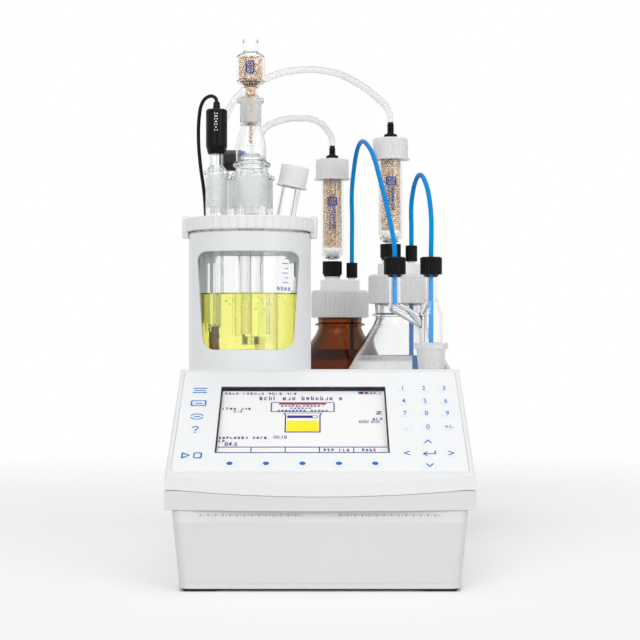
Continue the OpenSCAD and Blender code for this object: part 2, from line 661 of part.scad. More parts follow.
// frame of the rocker switch with the pin its rocker tips on
module switch_frame() color([0.08, 0.08, 0.09]) place() translate([rocker_x, case_depth, sock_z]) union() {
  difference() {
    union() { box(-8, -14, -12, 8, 0, 12); box(-9.5, 0, -13.5, 9.5, 1.2, 13.5); }
    box(-6 - run_gap, -12.5, -11, 6 + run_gap, 3, 11);
  }
  translate([-7, -9.5, 0]) along_x(14, 1.4);
}
// rocker, drawn level; its joint tips it each way about the pin
module power_switch() color([0.08, 0.08, 0.09]) place() translate([rocker_x, case_depth, sock_z]) difference() {
  union() {
    intersection() { box(-6, -4, -9.2, 6, 9, 9.2); translate([-6, -9.5, 0]) along_x(12, 13.2); }
    translate([-3, -9.5, 0]) along_x(6, 2.8);
    box(-3, -9.5, -2.6, 3, -3, 2.6);
  }
  translate([-8, -9.5, 0]) along_x(16, 1.4 + run_gap);
}
module screw(l, r = 1.15) { cyl(r, 0, l); cyl(2.6, -2, 0); }
module case_screws() color([0.6, 0.6, 0.62]) place() union() {
  for (q = boss_at) at(q[0], q[1], 30) difference() { union() { cyl(1.5, 0, q[1] < 100 ? 43 : 48); cyl(3.2, -3, 0); } cyl(1.3, -4, -1.2); }
  for (x = [4 - rear_w, rear_w - 4], z = [rear_z0 + 5, rear_z1 - 5]) translate([x, case_depth, z]) {
    difference() { along_y(1.8, 3); translate([0, 0.9, 0]) along_y(2, 1.1); }
    translate([0, -7, 0]) along_y(7.2, 1.5);
  }
  for (a = [30, 150, 270]) at(cell_x + 27 * cos(a), cell_y + 27 * sin(a), rotor_z0 - 12) screw(12);
  on_slope() for (x = kb_x, t = [20, 118]) at(x, t, -7 - key_board_t) screw(5);
  on_slope() for (q = disp_posts) at(q[0], q[1], disp_n - 1.6) screw(6);
  for (x = [-70, 70], y = [70, board_back - 8]) at(x, y, 17.6) mirror([0, 0, 1]) screw(7);
}
module feet() color([0.06, 0.06, 0.06]) place()
  for (x = [-foot_x, foot_x], y = [foot_front_y, foot_rear_y]) at(x, y)
    turned([[0, 0], [foot_r - 0.8, 0], [foot_r, 0.8], [foot_r, foot_h], [2, foot_h], [2, foot_h + wall], [2.8, foot_h + wall + 0.2], [1.6, foot_h + wall + 2.2], [0, foot_h + wall + 2.2]]);

// ---------- stirrer and pump ----------
module stirrer_motor() color([0.5, 0.5, 0.52]) place() at(cell_x, cell_y) union() {
  difference() {
    union() { cyl(18, rotor_z0 - 12, rotor_z0 - 9); for (a = [30, 150, 270]) rotate([0, 0, a]) box(10, -6, rotor_z0 - 12, 32, 6, rotor_z0 - 9); }
    for (a = [30, 150, 270]) rotate([0, 0, a]) at(27, 0) cyl(1.5, rotor_z0 - 20, rotor_z0);
  }
  cyl(14, rotor_z0 - 36, rotor_z0 - 12);
  cyl(5, rotor_z0 - 9, rotor_z0 - 6);
  cyl(1.5, rotor_z0 - 6, rotor_z0 + 4);
}
module magnet_rotor() color([0.75, 0.75, 0.78]) place() at(cell_x, cell_y) difference() {
  union() {
    cyl(rotor_r, rotor_z0, rotor_z1 - 1);
    cyl(4, rotor_z0 - 4, rotor_z0);
    for (s = [-1, 1]) at(12 * s, 0) cyl(5, rotor_z0, rotor_z1);
  }
  cyl(1.5 + run_gap, rotor_z0 - 5, rotor_z0 + 4.5);
}
module stir_bar() color([0.95, 0.95, 0.95]) place() at(cell_x, cell_y, vessel_z0 + 3 + run_gap + stirbar_r + 0.5) union() {
  translate([-stirbar_len / 2 + stirbar_r, 0, 0]) along_x(stirbar_len - 2 * stirbar_r, stirbar_r);
  for (s = [-1, 1]) translate([s * (stirbar_len / 2 - stirbar_r), 0, 0]) sphere(r = stirbar_r, $fn = 48);
  translate([-2, 0, 0]) along_x(4, stirbar_r + 0.5);
}
module air_pump() color([0.15, 0.15, 0.16]) place() union() {
  x0 = nozzle_x - 4;
  difference() {
    box(x0, nozzle_y - 18, pump_z0, x0 + 46, nozzle_y + 16, pump_z1);
    for (i = [0, 1]) at(nozzle_x + i * nozzle_span, nozzle_y) cyl(1.6, pump_z1 - 14, pump_z1 + 1);
  }
  translate([x0 + 46, nozzle_y - 1, pump_z1 - 14]) along_x(30, 12);
  for (i = [0, 1]) at(nozzle_x + i * nozzle_span, nozzle_y) pipe(3.4, 1.6, pump_z1 - 0.5, pump_z1 + 6);
  for (x = [x0 + 8, x0 + 41], y = [nozzle_y - 14, nozzle_y + 12]) at(x, y) cyl(2.4, pump_z1 - 0.5, deck_height - wall);
}
module air_nozzles() color([0.85, 0.86, 0.88]) place() for (i = [0, 1]) at(nozzle_x + i * nozzle_span, nozzle_y) turned([
  [1.3, pump_z1 + 6], [3.4, pump_z1 + 6], [3.4, deck_height - wall], [3.9, deck_height - wall], [3.9, deck_height], [6, deck_height], [6, deck_height + 3],
  [3.2, deck_height + 3.6], [2.6, nozzle_top - 3], [3, nozzle_top - 2], [2.4, nozzle_top], [1.3, nozzle_top]]);

// ---------- titration cell ----------
function fillet_poly(w_top, w_bot, z0, z1, r0, r1) = concat(
  arc([w_bot - r0, z0 + r0], r0, -88, -3, 8), arc([w_top - r1, z1 - r1], r1, -3, 90, 8),
  arc([-w_top + r1, z1 - r1], r1, 90, 183, 8), arc([-w_bot + r0, z0 + r0], r0, 183, 268, 8));
module cell_holder() color([0.95, 0.95, 0.95]) place() at(cell_x, cell_y) difference() {
  turned([[21, deck_height], [holder_r, deck_height], [holder_r, holder_top - 0.8], [holder_r - 0.8, holder_top],
    [holder_r - holder_wall, holder_top], [holder_r - holder_wall, deck_height + 3], [34, deck_height + 3], [34, vessel_z0], [28, vessel_z0], [28, deck_height + 3], [21, deck_height + 3]]);
  rotate([90, 0, 0]) translate([0, 0, 5]) linear_extrude(60)
    polygon(fillet_poly(holder_win_top, holder_win_bottom, deck_height + holder_sill, deck_height + holder_sill + holder_win_h, 9.5, 6.5));
  rotate([90, 0, 180]) translate([0, 0, 5]) linear_extrude(60)
    polygon(fillet_poly(32, 29, deck_height + holder_sill, deck_height + holder_sill + holder_win_h, 9.5, 6.5));
}
module cell_vessel() color([0.9, 0.95, 0.95, 0.3]) place() at(cell_x, cell_y) turned(concat(
  [[0, vessel_z0], [vessel_r - 9, vessel_z0]], arc([vessel_r - 9, vessel_z0 + 9], 9, -80, 0, 6),
  [[vessel_r, flange_z - 3], [vessel_r + 1, flange_z], [flange_r, flange_z], [flange_r, gasket_z]],
  [[vessel_r - vessel_wall, gasket_z], [vessel_r - vessel_wall, vessel_z0 + 9]], arc([vessel_r - 9, vessel_z0 + 9], 9 - vessel_wall, -6, -80, 6),
  [[vessel_r - 9, vessel_z0 + 3], [0, vessel_z0 + 3]]));
module lid_gasket() color([0.9, 0.9, 0.88]) place() at(cell_x, cell_y) pipe(flange_r, vessel_r - vessel_wall, gasket_z, lid_z);
module socket(mouth, neck, flange, z0, z1, len) {
  // a ground socket: a cone of 1 in 10, flared lip, straight waist below
  turned([[mouth - len / 20, z0], [neck, z0], [neck, z1 - 4], [flange - 0.6, z1 - 3.2], [flange, z1 - 2.4], [flange, z1 - 0.8], [flange - 0.8, z1], [mouth, z1], [mouth - len / 20, z1 - len]]);
}
module lean() at(port_x, cell_y, crown_z - 2) rotate([0, port_lean, 0]) children();
module cell_lid() color([0.9, 0.95, 0.95, 0.3]) place() difference() {
  union() {
    at(cell_x, cell_y) turned([[0, lid_z], [flange_r, lid_z], [flange_r, lid_top], [ring_open_r - run_gap - 0.3, lid_top], [ring_open_r - run_gap - 0.3, lid_top + 2.6], [ring_open_r - 3, lid_top + 3.8], [28, crown_z], [0, crown_z]]);
    at(main_x, main_y) turned([[0, lid_top], [main_neck_r, lid_top], [main_neck_r, main_top - 4], [main_flange_r - 0.5, main_top - 3.2], [main_flange_r, main_top - 2.4], [main_flange_r, main_top - 0.8], [main_flange_r - 0.8, main_top], [0, main_top]]);
    at(front_x, front_y) turned([[0, lid_top], [front_neck_r, lid_top], [front_neck_r, front_top - 4], [front_flange_r - 0.5, front_top - 3.2], [front_flange_r, front_top - 2.4], [front_flange_r, front_top - 0.8], [front_flange_r - 0.8, front_top], [0, front_top]]);
    at(det_x, det_y) turned([[0, lid_top], [det_neck_r, lid_top], [det_neck_r, det_top - 3.4], [det_flange_r, det_top - 2.4], [det_flange_r, det_top - 0.6], [det_flange_r - 0.6, det_top], [0, det_top]]);
    lean() cyl(port_r, -1, port_len);
  }
  at(main_x, main_y) turned([[0, lid_z - 1], [main_mouth_r - 1.6, lid_z - 1], [main_mouth_r - 1.6, main_top - 32], [main_mouth_r, main_top], [main_mouth_r, main_top + 1], [0, main_top + 1]]);
  at(front_x, front_y) turned([[0, lid_z - 1], [front_mouth_r - 1.3, lid_z - 1], [front_mouth_r - 1.3, front_top - 26], [front_mouth_r, front_top], [front_mouth_r, front_top + 1], [0, front_top + 1]]);
  at(det_x, det_y) turned([[0, lid_z - 1], [det_mouth_r - 1.15, lid_z - 1], [det_mouth_r - 1.15, det_top - 23], [det_mouth_r, det_top], [det_mouth_r, det_top + 1], [0, det_top + 1]]);
  lean() cyl(port_r - 1.6, -20, port_len + 1);
}
module lock_ring() color([0.95, 0.95, 0.95]) place() at(cell_x, cell_y) difference() {
  union() {
    turned([[flange_r + run_gap + 0.05, ring_z0], [ring_r - 0.6, ring_z0], [ring_r, ring_z0 + 0.6], [ring_r, ring_z1 - 1], [ring_r - 1, ring_z1], [ring_open_r, ring_z1], [ring_open_r, lid_top + run_gap], [flange_r + run_gap + 0.05, lid_top + run_gap]]);
    for (i = [0:ring_ribs - 1]) rotate([0, 0, i * 360 / ring_ribs]) translate([ring_r - 0.25, 0, 0]) cylinder_rib();
    intersection() {
      turned([[holder_r + 0.6, holder_top - 3.5], [grip_r - 0.8, holder_top - 3.5], [grip_r, holder_top - 2.7], [grip_r, ring_z1 + 0.8], [grip_r - 0.8, ring_z1 + 1.6], [ring_r - 2.5, ring_z1 + 1.6], [ring_r - 2.5, ring_z0], [holder_r + 0.6, ring_z0 - 0.1]]);
      union() for (s = [0, 180]) rotate([0, 0, s]) box(30, -8, holder_top - 30, 60, 8, ring_z1 + 30);
    }
  }
  for (s = [0, 180], i = [-2:2]) rotate([0, 0, s + i * 3.6]) translate([grip_r + 0.25, 0, 0]) cyl(0.7, holder_top - 10, ring_z1 + 20);
}
module cylinder_rib() cyl(0.7, ring_z0 + 0.8, ring_z1 - 1.2);
sept_z = port_len;
module septum() color([0.8, 0.75, 0.65]) place() lean() cyl(port_r - 0.2, sept_z, sept_z + 2.4);
module septum_cap() color([0.9, 0.92, 0.92, 0.6]) place() lean() difference() {
  union() {
    cyl(sept_cap_r, sept_z + 4.2 - sept_cap_h + 1.2, sept_z + 4.2);
    cyl(sept_cap_r + 1, sept_z + 4.2 - sept_cap_h, sept_z + 4.2 - sept_cap_h + 1.2);
  }
  cyl(port_r + run_gap, 0, sept_z + 2.4 + run_gap);
  cyl(4.5, 0, sept_z + 20);
}
module front_stopper() color([0.9, 0.95, 0.95, 0.35]) place() at(front_x, front_y) turned([
  [0, front_top - 24], [front_mouth_r - run_gap - 1.6, front_top - 24], [front_mouth_r - run_gap - 1.2, front_top - 23],
  [front_mouth_r - run_gap, front_top - 0.2], [front_mouth_r - run_gap, front_top + 0.3], [11.2, front_top + 0.3], [11.5, front_top + 0.9], [11.2, front_top + 1.6], [5.8, front_top + 6.6], [5, front_top + 7],
  [0, front_top + 7]]);

// ---------- generator, drying tube, detector ----------
gen_r0 = main_mouth_r - seat_gap;
module generator_glass() color([0.9, 0.95, 0.95, 0.3]) place() at(main_x, main_y) difference() {
  union() {
    turned([[0, gen_foot_z], [gen_tube_r, gen_foot_z], [gen_tube_r, main_top - 36], [gen_r0 - 1.6, main_top - 32], [gen_r0, main_top], [gen_r0 + 0.6, main_top + 1.2], [gen_r0 - 0.4, main_top + 2.6],
      [gen_bulb_r, main_top + 4], [gen_bulb_r, gen_bulb_top], [gen_bulb_r - 0.9, gen_bulb_top + 6], [gen_socket_r - 0.9, gen_neck_z - 1], [gen_socket_r, gen_neck_z],
      [gen_socket_r, gen_top - 5], [gen_flange_r - 0.4, gen_top - 4], [gen_flange_r, gen_top - 3], [gen_flange_r, gen_top - 1], [gen_flange_r - 1, gen_top], [0, gen_top]]);
    translate([0, 0, gen_arm_z]) { along_y(gen_arm_len, 4.5); translate([0, gen_arm_len, 0]) sphere(r = 4.5, $fn = 48); translate([-5.5, gen_arm_len, 0]) along_x(5.5, 4.5); }
  }
  turned([[0, gen_foot_z + 1.5], [gen_tube_r - 1.4, gen_foot_z + 1.5], [gen_tube_r - 1.4, main_top - 34], [gen_r0 - 3.4, main_top - 30], [gen_r0 - 2.2, main_top],
    [gen_bulb_r - 1.4, main_top + 5], [gen_bulb_r - 1.4, gen_bulb_top], [gen_bulb_r - 2.4, gen_bulb_top + 6], [6.35, gen_neck_z], [7.25, gen_top + 0.01], [7.25, gen_top + 1], [0, gen_top + 1]]);
  translate([0, 9, gen_arm_z]) along_y(gen_arm_len - 11.5, 3.2);
}
module generator_plug() color([0.07, 0.07, 0.08]) place() translate([main_x - 5.5, main_y + gen_arm_len, gen_arm_z]) rotate([0, 0, 180]) union() {
  along_x(5, 7.4);
  translate([5, 0, 0]) along_x(11, 8.3);
  translate([16, 0, 0]) along_x(1.2, 7.2);
}
module platinum_parts() color([0.75, 0.76, 0.78]) place() union() {
  at(main_x, main_y) { pipe(5, 4.4, gen_foot_z - 6, gen_foot_z); cyl(0.5, gen_foot_z + 1.5, gen_bulb_top - 16); translate([0, 0, gen_foot_z - 6]) box(-4.6, -0.3, 0, 4.6, 0.3, 6); }
  at(det_x, det_y) for (s = [-1, 1]) at(1.6 * s, 0) cyl(0.5, stem_z0 - 4.5, stem_z0);
}
module drying_tube() color([0.9, 0.95, 0.95, 0.3]) place() at(main_x, main_y) difference() {
  turned([[0, dry_tip_z], [3.2, dry_tip_z], [3.2, gen_neck_z - 1], [6.35 - run_gap - 0.1, gen_neck_z + 1], [7.25 - run_gap, gen_top - 0.5], [7.25 - run_gap, gen_top + 0.4], [dry_neck_r + 1.6, gen_top + 0.4], [dry_neck_r, gen_top + 2.2], [dry_neck_r, dry_z0 - 3],
    [dry_r - 2.2, dry_z0 - 0.6], [dry_r, dry_z0 + 1.8], [dry_r, dry_z1 - 1.8], [dry_r - 1.8, dry_z1], [dry_stub_r + 0.6, dry_z1 + 0.6], [dry_stub_r - 0.2, dry_z1 + 2.4], [dry_stub_r - 0.2, dry_top - 2.2], [dry_stub_r + 0.3, dry_top - 1.6], [dry_stub_r + 0.3, dry_top - 0.4], [dry_stub_r, dry_top], [0, dry_top]]);
  turned([[0, dry_tip_z + 1], [2.2, dry_tip_z + 1], [2.2, gen_neck_z], [4.6, gen_neck_z + 2], [4.6, dry_z0 - 2.2], [dry_r - 2.6, dry_z0 + 0.8], [dry_r - 1.2, dry_z0 + 2.4], [dry_r - 1.2, dry_z1 - 2.4], [dry_r - 2.8, dry_z1 - 1],
    [4.5, dry_z1 + 0.4], [4.5, dry_top + 1], [0, dry_top + 1]]);
}
module drying_beads() color([0.8, 0.68, 0.55]) place() at(main_x, main_y) turned([[0, dry_tip_z + 1], [2.1, dry_tip_z + 1], [2.1, gen_neck_z], [4.5, gen_neck_z + 2.1], [4.5, dry_z0 - 2.1],
  [dry_r - 2.7, dry_z0 + 0.9], [dry_r - 1.3, dry_z0 + 2.5], [dry_r - 1.3, dry_z1 - 2.5], [dry_r - 2.9, dry_z1 - 1.2], [0, dry_z1 - 1.2]]);
module detector_stem() color([0.9, 0.95, 0.95, 0.3]) place() at(det_x, det_y) difference() {
  turned([[0, stem_z0], [stem_r - 1, stem_z0], [stem_r, stem_z0 + 1], [stem_r, det_top - 26], [det_mouth_r - seat_gap - 1.15, det_top - 23], [det_mouth_r - seat_gap, det_top], [det_mouth_r - seat_gap, det_top + 1.5], [stem_r, det_top + 4], [stem_r, head_z0], [0, head_z0]]);
  cyl(stem_r - 1.2, stem_z0 + 2, head_z0 + 1);
}
module detector_head() color([0.07, 0.07, 0.07]) place() at(det_x, det_y) turned([[0, head_z0], [head_r - 1.9, head_z0], [head_r - 1.5, head_z0 + 0.4], [head_r - 0.2, head_z0 + 5.6], [head_r, head_z0 + 6.4],
  [head_r, head_z1 - 1], [head_r - 1, head_z1], [2.9, head_z1], [2.4, head_z1 + 5.8], [0, head_z1 + 5.8]]);
cable_top = head_z1 + 5.8;
plug_y = case_depth + 12;
module detector_plug() color([0.6, 0.61, 0.62]) place() translate([det_sock_x, 0, sock_z - 15]) difference() {
  union() { translate([0, case_depth + 4, 0]) along_y(16, 6.6); translate([0, case_depth + 20, 0]) along_y(9, 4.2); translate([0, case_depth + 29, 0]) along_y(7, 3); }
  translate([0, case_depth + 3, 0]) along_y(9.2, 4.8 + seat_gap);
}
module detector_cable() color([0.07, 0.07, 0.07]) place() cord([
  [det_x, det_y, cable_top], [det_x - 0.4, det_y + 0.3, cable_top + 2.2], [-81.4, 185.5, 351.6], [-84.4, 186.5, 352.4], [-88.5, 188, 350.6], [-91.6, 190, 346], [-93.2, 192, 339], [-94.2, 195, 328], [-94.2, 199, 314], [-93, 204, 298],
  [-91.6, 210, 286], [-91, 218, 275], [-91.6, 236, 262], [-93.5, 256, 240], [-95, 272, 214], [-95, 290, 188], [-94, 312, 165], [-90, 335, 146], [-84, 356, 128], [-78, 370, 110], [det_sock_x, 372, 96], [det_sock_x, 364, 87.6], [det_sock_x, case_depth + 36, 85]],
  det_cable_d, [0, 0, 1], [0, -1, 0], 8, 3);

// ---------- bottles ----------
function bottle_out(r, rim, z_sh, z_neck) = concat([[0, 0], [r - 6, 0]], arc([r - 6, 6], 6, -75, 0, 5), [[r, z_sh]], arc([r - 10, z_sh], 10, 10, 35, 3),
  [[22.5, z_neck - 3], [20.5, z_neck + 2], [20.5, z_neck + 4], [23.4, z_neck + 4.6], [23.4, z_neck + 6], [20.5, z_neck + 7.4], [neck_r - 1.4, z_neck + 9], [neck_r, rim - 10], [neck_r, rim - 2.5], [neck_r - 1.4, rim - 1.2], [neck_r - 1.4, rim]]);
module bottle(r, rim, z_sh, z_neck) difference() {
  turned(concat(bottle_out(r, rim, z_sh, z_neck), [[0, rim]]));
  turned(concat([[0, 3], [r - 8, 3]], arc([r - bottle_wall - 5, 8], 5, -75, 0, 5), [[r - bottle_wall, z_sh]], arc([r - 10, z_sh], 10 - bottle_wall, 10, 35, 3),
    [[22.5 - bottle_wall - 1.2, z_neck - 3], [17, z_neck + 3], [17, rim + 1], [0, rim + 1]]));
}
module amber_bottle() color([0.4, 0.17, 0.03, 0.75]) place() at(amber_x, amber_y) bottle(amber_r, amber_rim, shoulder_z, amber_rim - amber_neck_h);
module clear_bottle() color([0.9, 0.95, 0.95, 0.3]) place() at(clear_x, clear_y) bottle(clear_r, clear_rim, shoulder_z, clear_rim - clear_neck_h);
// insert: flange on the rim, plug inside the neck, column with two threaded ports
stub_gap = 3.2;
module insert(rim) difference() {
  union() {
    cyl(17 - seat_gap, rim - 8, rim);
    cyl(21.4, rim, rim + 3.4);
    turned([[0, rim + 3.4], [18.5, rim + 3.4], [18.5, rim + 15.3], [17.5, rim + 16.3], [0, rim + 16.3]]);
    at(drier_dx, 0) { cyl(7.2, rim + 16.3, rim + 18.6); cyl(6.9, rim + 16.3, rim + 29); }
    at(hose_dx, 0) cyl(3.5, rim + 16.3, rim + 28);
  }
  at(drier_dx, 0) { cyl(2.2, rim - 9, rim + 17); cyl(4.2 + seat_gap, rim + 17, rim + 30); }
  at(hose_dx, 0) cyl(blue_d / 2 + 0.25, rim - 9, rim + 30);
}
module amber_insert() color([0.93, 0.94, 0.95]) place() at(amber_x, amber_y) insert(amber_rim);
module clear_insert() color([0.93, 0.94, 0.95]) place() at(clear_x, clear_y) insert(clear_rim);
module screw_ring(rim) {
  top = rim + 3.4 + run_gap + 2.6;
  difference() {
    turned([[neck_r + run_gap, top - screw_h], [screw_r - 0.6, top - screw_h], [screw_r, top - screw_h + 0.6], [screw_r, top - 2], [screw_r - 2, top], [18.5 + run_gap, top], [18.5 + run_gap, top - 2.6], [neck_r + run_gap, top - 2.6]]);
    for (i = [0:35]) rotate([0, 0, i * 10]) translate([screw_r + 0.3, 0, 0]) cyl(0.8, top - screw_h - 1, top - 3);
  }
}
module amber_screw_ring() color([0.9, 0.93, 0.95, 0.6]) place() at(amber_x, amber_y) screw_ring(amber_rim);
module clear_screw_ring() color([0.9, 0.93, 0.95, 0.6]) place() at(clear_x, clear_y) screw_ring(clear_rim);
module drier_nut(rim) difference() {
  union() { cyl(drier_nut_r, rim + 21.4, rim + 33.6); cyl(drier_nut_r - 1.1, rim + 19.4, rim + 21.4); }
  cyl(6.9 + run_gap, rim + 19, rim + 29.5);
  cyl(4.2 + run_gap, rim + 19, rim + 35);
  for (i = [0:17]) rotate([0, 0, i * 20]) translate([drier_nut_r + 0.3, 0, 0]) cyl(0.8, rim + 20, rim + 32.6);
}
module amber_drier_nut() color([0.07, 0.07, 0.07]) place() at(amber_x + drier_dx, amber_y) drier_nut(amber_rim);
module clear_drier_nut() color([0.07, 0.07, 0.07]) place() at(clear_x + drier_dx, clear_y) drier_nut(clear_rim);
module hose_nut(rim) difference() {
  cyl(hose_nut_r, rim + 18.3, rim + 18.3 + hose_nut_h);
  cyl(3.5 + run_gap, rim + 17, rim + 28.5);
  cyl(blue_d / 2 + run_gap + 0.15, rim + 17, rim + 40);
  for (i = [0:11]) rotate([0, 0, i * 30]) translate([hose_nut_r + 0.25, 0, 0]) cyl(0.6, rim + 17, rim + 31.3);
}
module amber_hose_nut() color([0.07, 0.07, 0.07]) place() at(amber_x + hose_dx, amber_y) hose_nut(amber_rim);
module clear_hose_nut() color([0.07, 0.07, 0.07]) place() at(clear_x + hose_dx, clear_y) hose_nut(clear_rim);
// drier: z of the glass bottom and of its top
amber_dr = [amber_rim + amber_dr_lift, amber_rim + amber_dr_lift + amber_dr_len];
clear_dr = [clear_rim + clear_dr_lift, clear_rim + clear_dr_lift + clear_dr_len];
module drier(rim, z0, z1) difference() {
  turned([[0, rim + 20], [4.2, rim + 20], [4.2, z0], [7, z0 + 1], [drier_r - 0.8, z0 + 4.2], [drier_r, z0 + 8], [drier_r, z1], [0, z1]]);
  turned([[0, rim + 19], [2.6, rim + 19], [2.6, z0 + 0.6], [6.4, z0 + 2.4], [drier_r - 2, z0 + 5.2], [drier_r - drier_wall, z0 + 8.4], [drier_r - drier_wall, z1 + 1], [0, z1 + 1]]);
}
module drier_glass() color([0.9, 0.95, 0.95, 0.3]) place() union() {
  at(amber_x + drier_dx, amber_y) drier(amber_rim, amber_dr[0], amber_dr[1]);
  at(clear_x + drier_dx, clear_y) drier(clear_rim, clear_dr[0], clear_dr[1]);
}
module beads(z0, z1) turned([[0, z0 + 2.8], [6, z0 + 2.8], [drier_r - 2.3, z0 + 5.6], [drier_r - drier_wall - 0.15, z0 + 8.8], [drier_r - drier_wall - 0.15, z1 - 6], [0, z1 - 6]]);
module drier_beads() color([0.8, 0.68, 0.55]) place() union() {
  at(amber_x + drier_dx, amber_y) beads(amber_dr[0], amber_dr[1]);
  at(clear_x + drier_dx, clear_y) beads(clear_dr[0], clear_dr[1]);
}
// translucent cap: skirt, body, disc and barb
module drier_cap(z0, z1, zt) difference() {
  turned([[drier_r + seat_gap, z1 - 17], [drier_cap_r + 1.6, z1 - 17], [drier_cap_r + 1.6, z1 - 15.8], [drier_cap_r, z1 - 15.6], [drier_cap_r, z1 + 1.2], [drier_cap_r - 1.2, z1 + 2.4], [5.5, z1 + 2.4], [5.5, z1 + 5.6], [3.4, z1 + 6],
    [2.6, zt - 1.4], [3, zt - 1], [2.4, zt], [0, zt], [0, z1], [drier_r + seat_gap, z1]]);
  cyl(1.3, z1 - 1, zt + 1);
}
module drier_caps() color([0.93, 0.95, 0.96, 0.7]) place() union() {
  at(amber_x + drier_dx, amber_y) drier_cap(amber_dr[0], amber_dr[1], amber_dr[1] + amber_barb);
  at(clear_x + drier_dx, clear_y) drier_cap(clear_dr[0], clear_dr[1], clear_dr[1] + clear_barb);
}
module dip_tubes() color([0.1, 0.35, 0.7]) place() union() {
  at(amber_x + hose_dx, amber_y) cyl(blue_d / 2, 8, amber_rim + 22);
  at(clear_x + hose_dx, clear_y) cyl(blue_d / 2, 8, clear_rim + 22);
}

// ---------- exchange adapter ----------
module parking_socket() color([0.9, 0.92, 0.94, 0.6]) place() at(adapter_x, adapter_y) difference() {
  turned([[0, deck_height], [park_mouth + 1.2, deck_height], [park_mouth + 2.2, park_top - 6], [13.6, park_top - 4.6], [14, park_top - 3.8], [14, park_top - 1], [13.2, park_top], [0, park_top]]);
  turned([[0, deck_height + 2], [park_mouth - 1.05, deck_height + 2], [park_mouth, park_top + 0.01], [park_mouth, park_top + 1], [0, park_top + 1]]);
}
// left branch: neck, blown elbow and slanted arm, at radius r
module branch(r, top) translate([-adapter_span, 0, 0]) {
  cyl(r, bend_z, top);
  translate([0, 0, bend_z]) { sphere(r = r + 0.45, $fn = C); rotate([0, 180 - bend_a, 0]) cylinder(r = r, h = adapter_span / sin(bend_a), $fn = C); }
}
module adapter_glass() color([0.9, 0.95, 0.95, 0.3]) place() at(adapter_x, adapter_y) difference() {
  union() {
    turned([[0, deck_height + 4], [park_mouth - seat_gap - 1.05, deck_height + 4], [park_mouth - seat_gap - 0.1, park_top], [adapter_tube_r, park_top + 3], [adapter_tube_r, bend_z - 6.5], [adapter_tube_r - 1, bend_z - 3.5], [adapter_neck_r, bend_z + 5.5], [adapter_neck_r, adapter_cap_z - 2.2],
      [6.9, adapter_cap_z], [6.9, adapter_cap_z + 11], [0, adapter_cap_z + 11]]);
    branch(adapter_neck_r, adapter_cap_z - 2.2);
    at(-adapter_span, 0) turned([[0, adapter_cap_z - 2.2], [adapter_neck_r, adapter_cap_z - 2.2], [6.9, adapter_cap_z], [6.9, adapter_cap_z + 11], [0, adapter_cap_z + 11]]);
  }
  turned([[0, deck_height + 3], [park_mouth - 2.6, deck_height + 3], [park_mouth - 1.6, park_top], [adapter_tube_r - 1.3, park_top + 3], [adapter_tube_r - 1.3, bend_z - 6.9], [adapter_tube_r - 2.2, bend_z - 4.3], [adapter_neck_r - 1.2, bend_z + 4.5], [adapter_neck_r - 1.2, adapter_cap_z + 12], [0, adapter_cap_z + 12]]);
  branch(adapter_neck_r - 1.2, adapter_cap_z + 12);
}
module adapter_cap() difference() {
  turned([[0, adapter_cap_z], [adapter_cap_r - 0.4, adapter_cap_z], [adapter_cap_r, adapter_cap_z + 0.4], [adapter_cap_r, adapter_cap_z + adapter_cap_h - 1], [adapter_cap_r - 1, adapter_cap_z + adapter_cap_h], [0, adapter_cap_z + adapter_cap_h]]);
  cyl(6.9 + run_gap, adapter_cap_z - 1, adapter_cap_z + 11 + run_gap);
  cyl(blue_d / 2 + run_gap + 0.5, adapter_cap_z - 1, adapter_cap_z + 20);
  for (i = [0:17]) rotate([0, 0, i * 20]) translate([adapter_cap_r + 0.3, 0, 0]) cyl(0.8, adapter_cap_z - 1, adapter_cap_z + adapter_cap_h - 1.2);
}
module adapter_cap_left() color([0.07, 0.07, 0.07]) place() at(adapter_lx, adapter_y) adapter_cap();
module adapter_cap_right() color([0.07, 0.07, 0.07]) place() at(adapter_x, adapter_y) adapter_cap();

// ---------- hoses ----------
ab = [amber_x + hose_dx, amber_y];
cb = [clear_x + hose_dx, clear_y];
module amber_hose() color([0.05, 0.4, 0.8]) place() cord([
  [ab[0], ab[1], amber_rim + 22], [ab[0], ab[1], amber_rim + 30], [ab[0], ab[1] - 0.4, amber_rim + 45], [30, 451, 276], [29.6, 445, 298.6], [31.2, 432, 320], [33.8, 410, 336], [37.7, 385, 341], [43, 360, 333], [47.3, 340, 320], [51, 322, 302], [54.6, 304, 284],
  [58, 286, 264], [60.6, 272, 247], [adapter_lx, adapter_y + 0.4, 235], [adapter_lx, adapter_y, 226], [adapter_lx, adapter_y, 210], [adapter_lx, adapter_y, 193]],
  blue_d, [0, 0, 1], [0, 0, -1], 10, 2);
module clear_hose() color([0.05, 0.4, 0.8]) place() cord([
  [cb[0], cb[1], clear_rim + 22], [cb[0], cb[1], clear_rim + 30], [cb[0], cb[1] - 0.3, 262], [80.4, 365, 281], [81.6, 354, 295], [83.4, 338, 303], [85.6, 322, 305], [88, 304, 299], [90.4, 288, 286], [91.6, 275, 268], [91.4, 268, 251],
  [adapter_x, adapter_y + 0.2, 236], [adapter_x, adapter_y, 226], [adapter_x, adapter_y, 205], [adapter_x, adapter_y, 180], [adapter_x, adapter_y, 150]],
  blue_d, [0, 0, 1], [0, 0, -1], 10, 2);
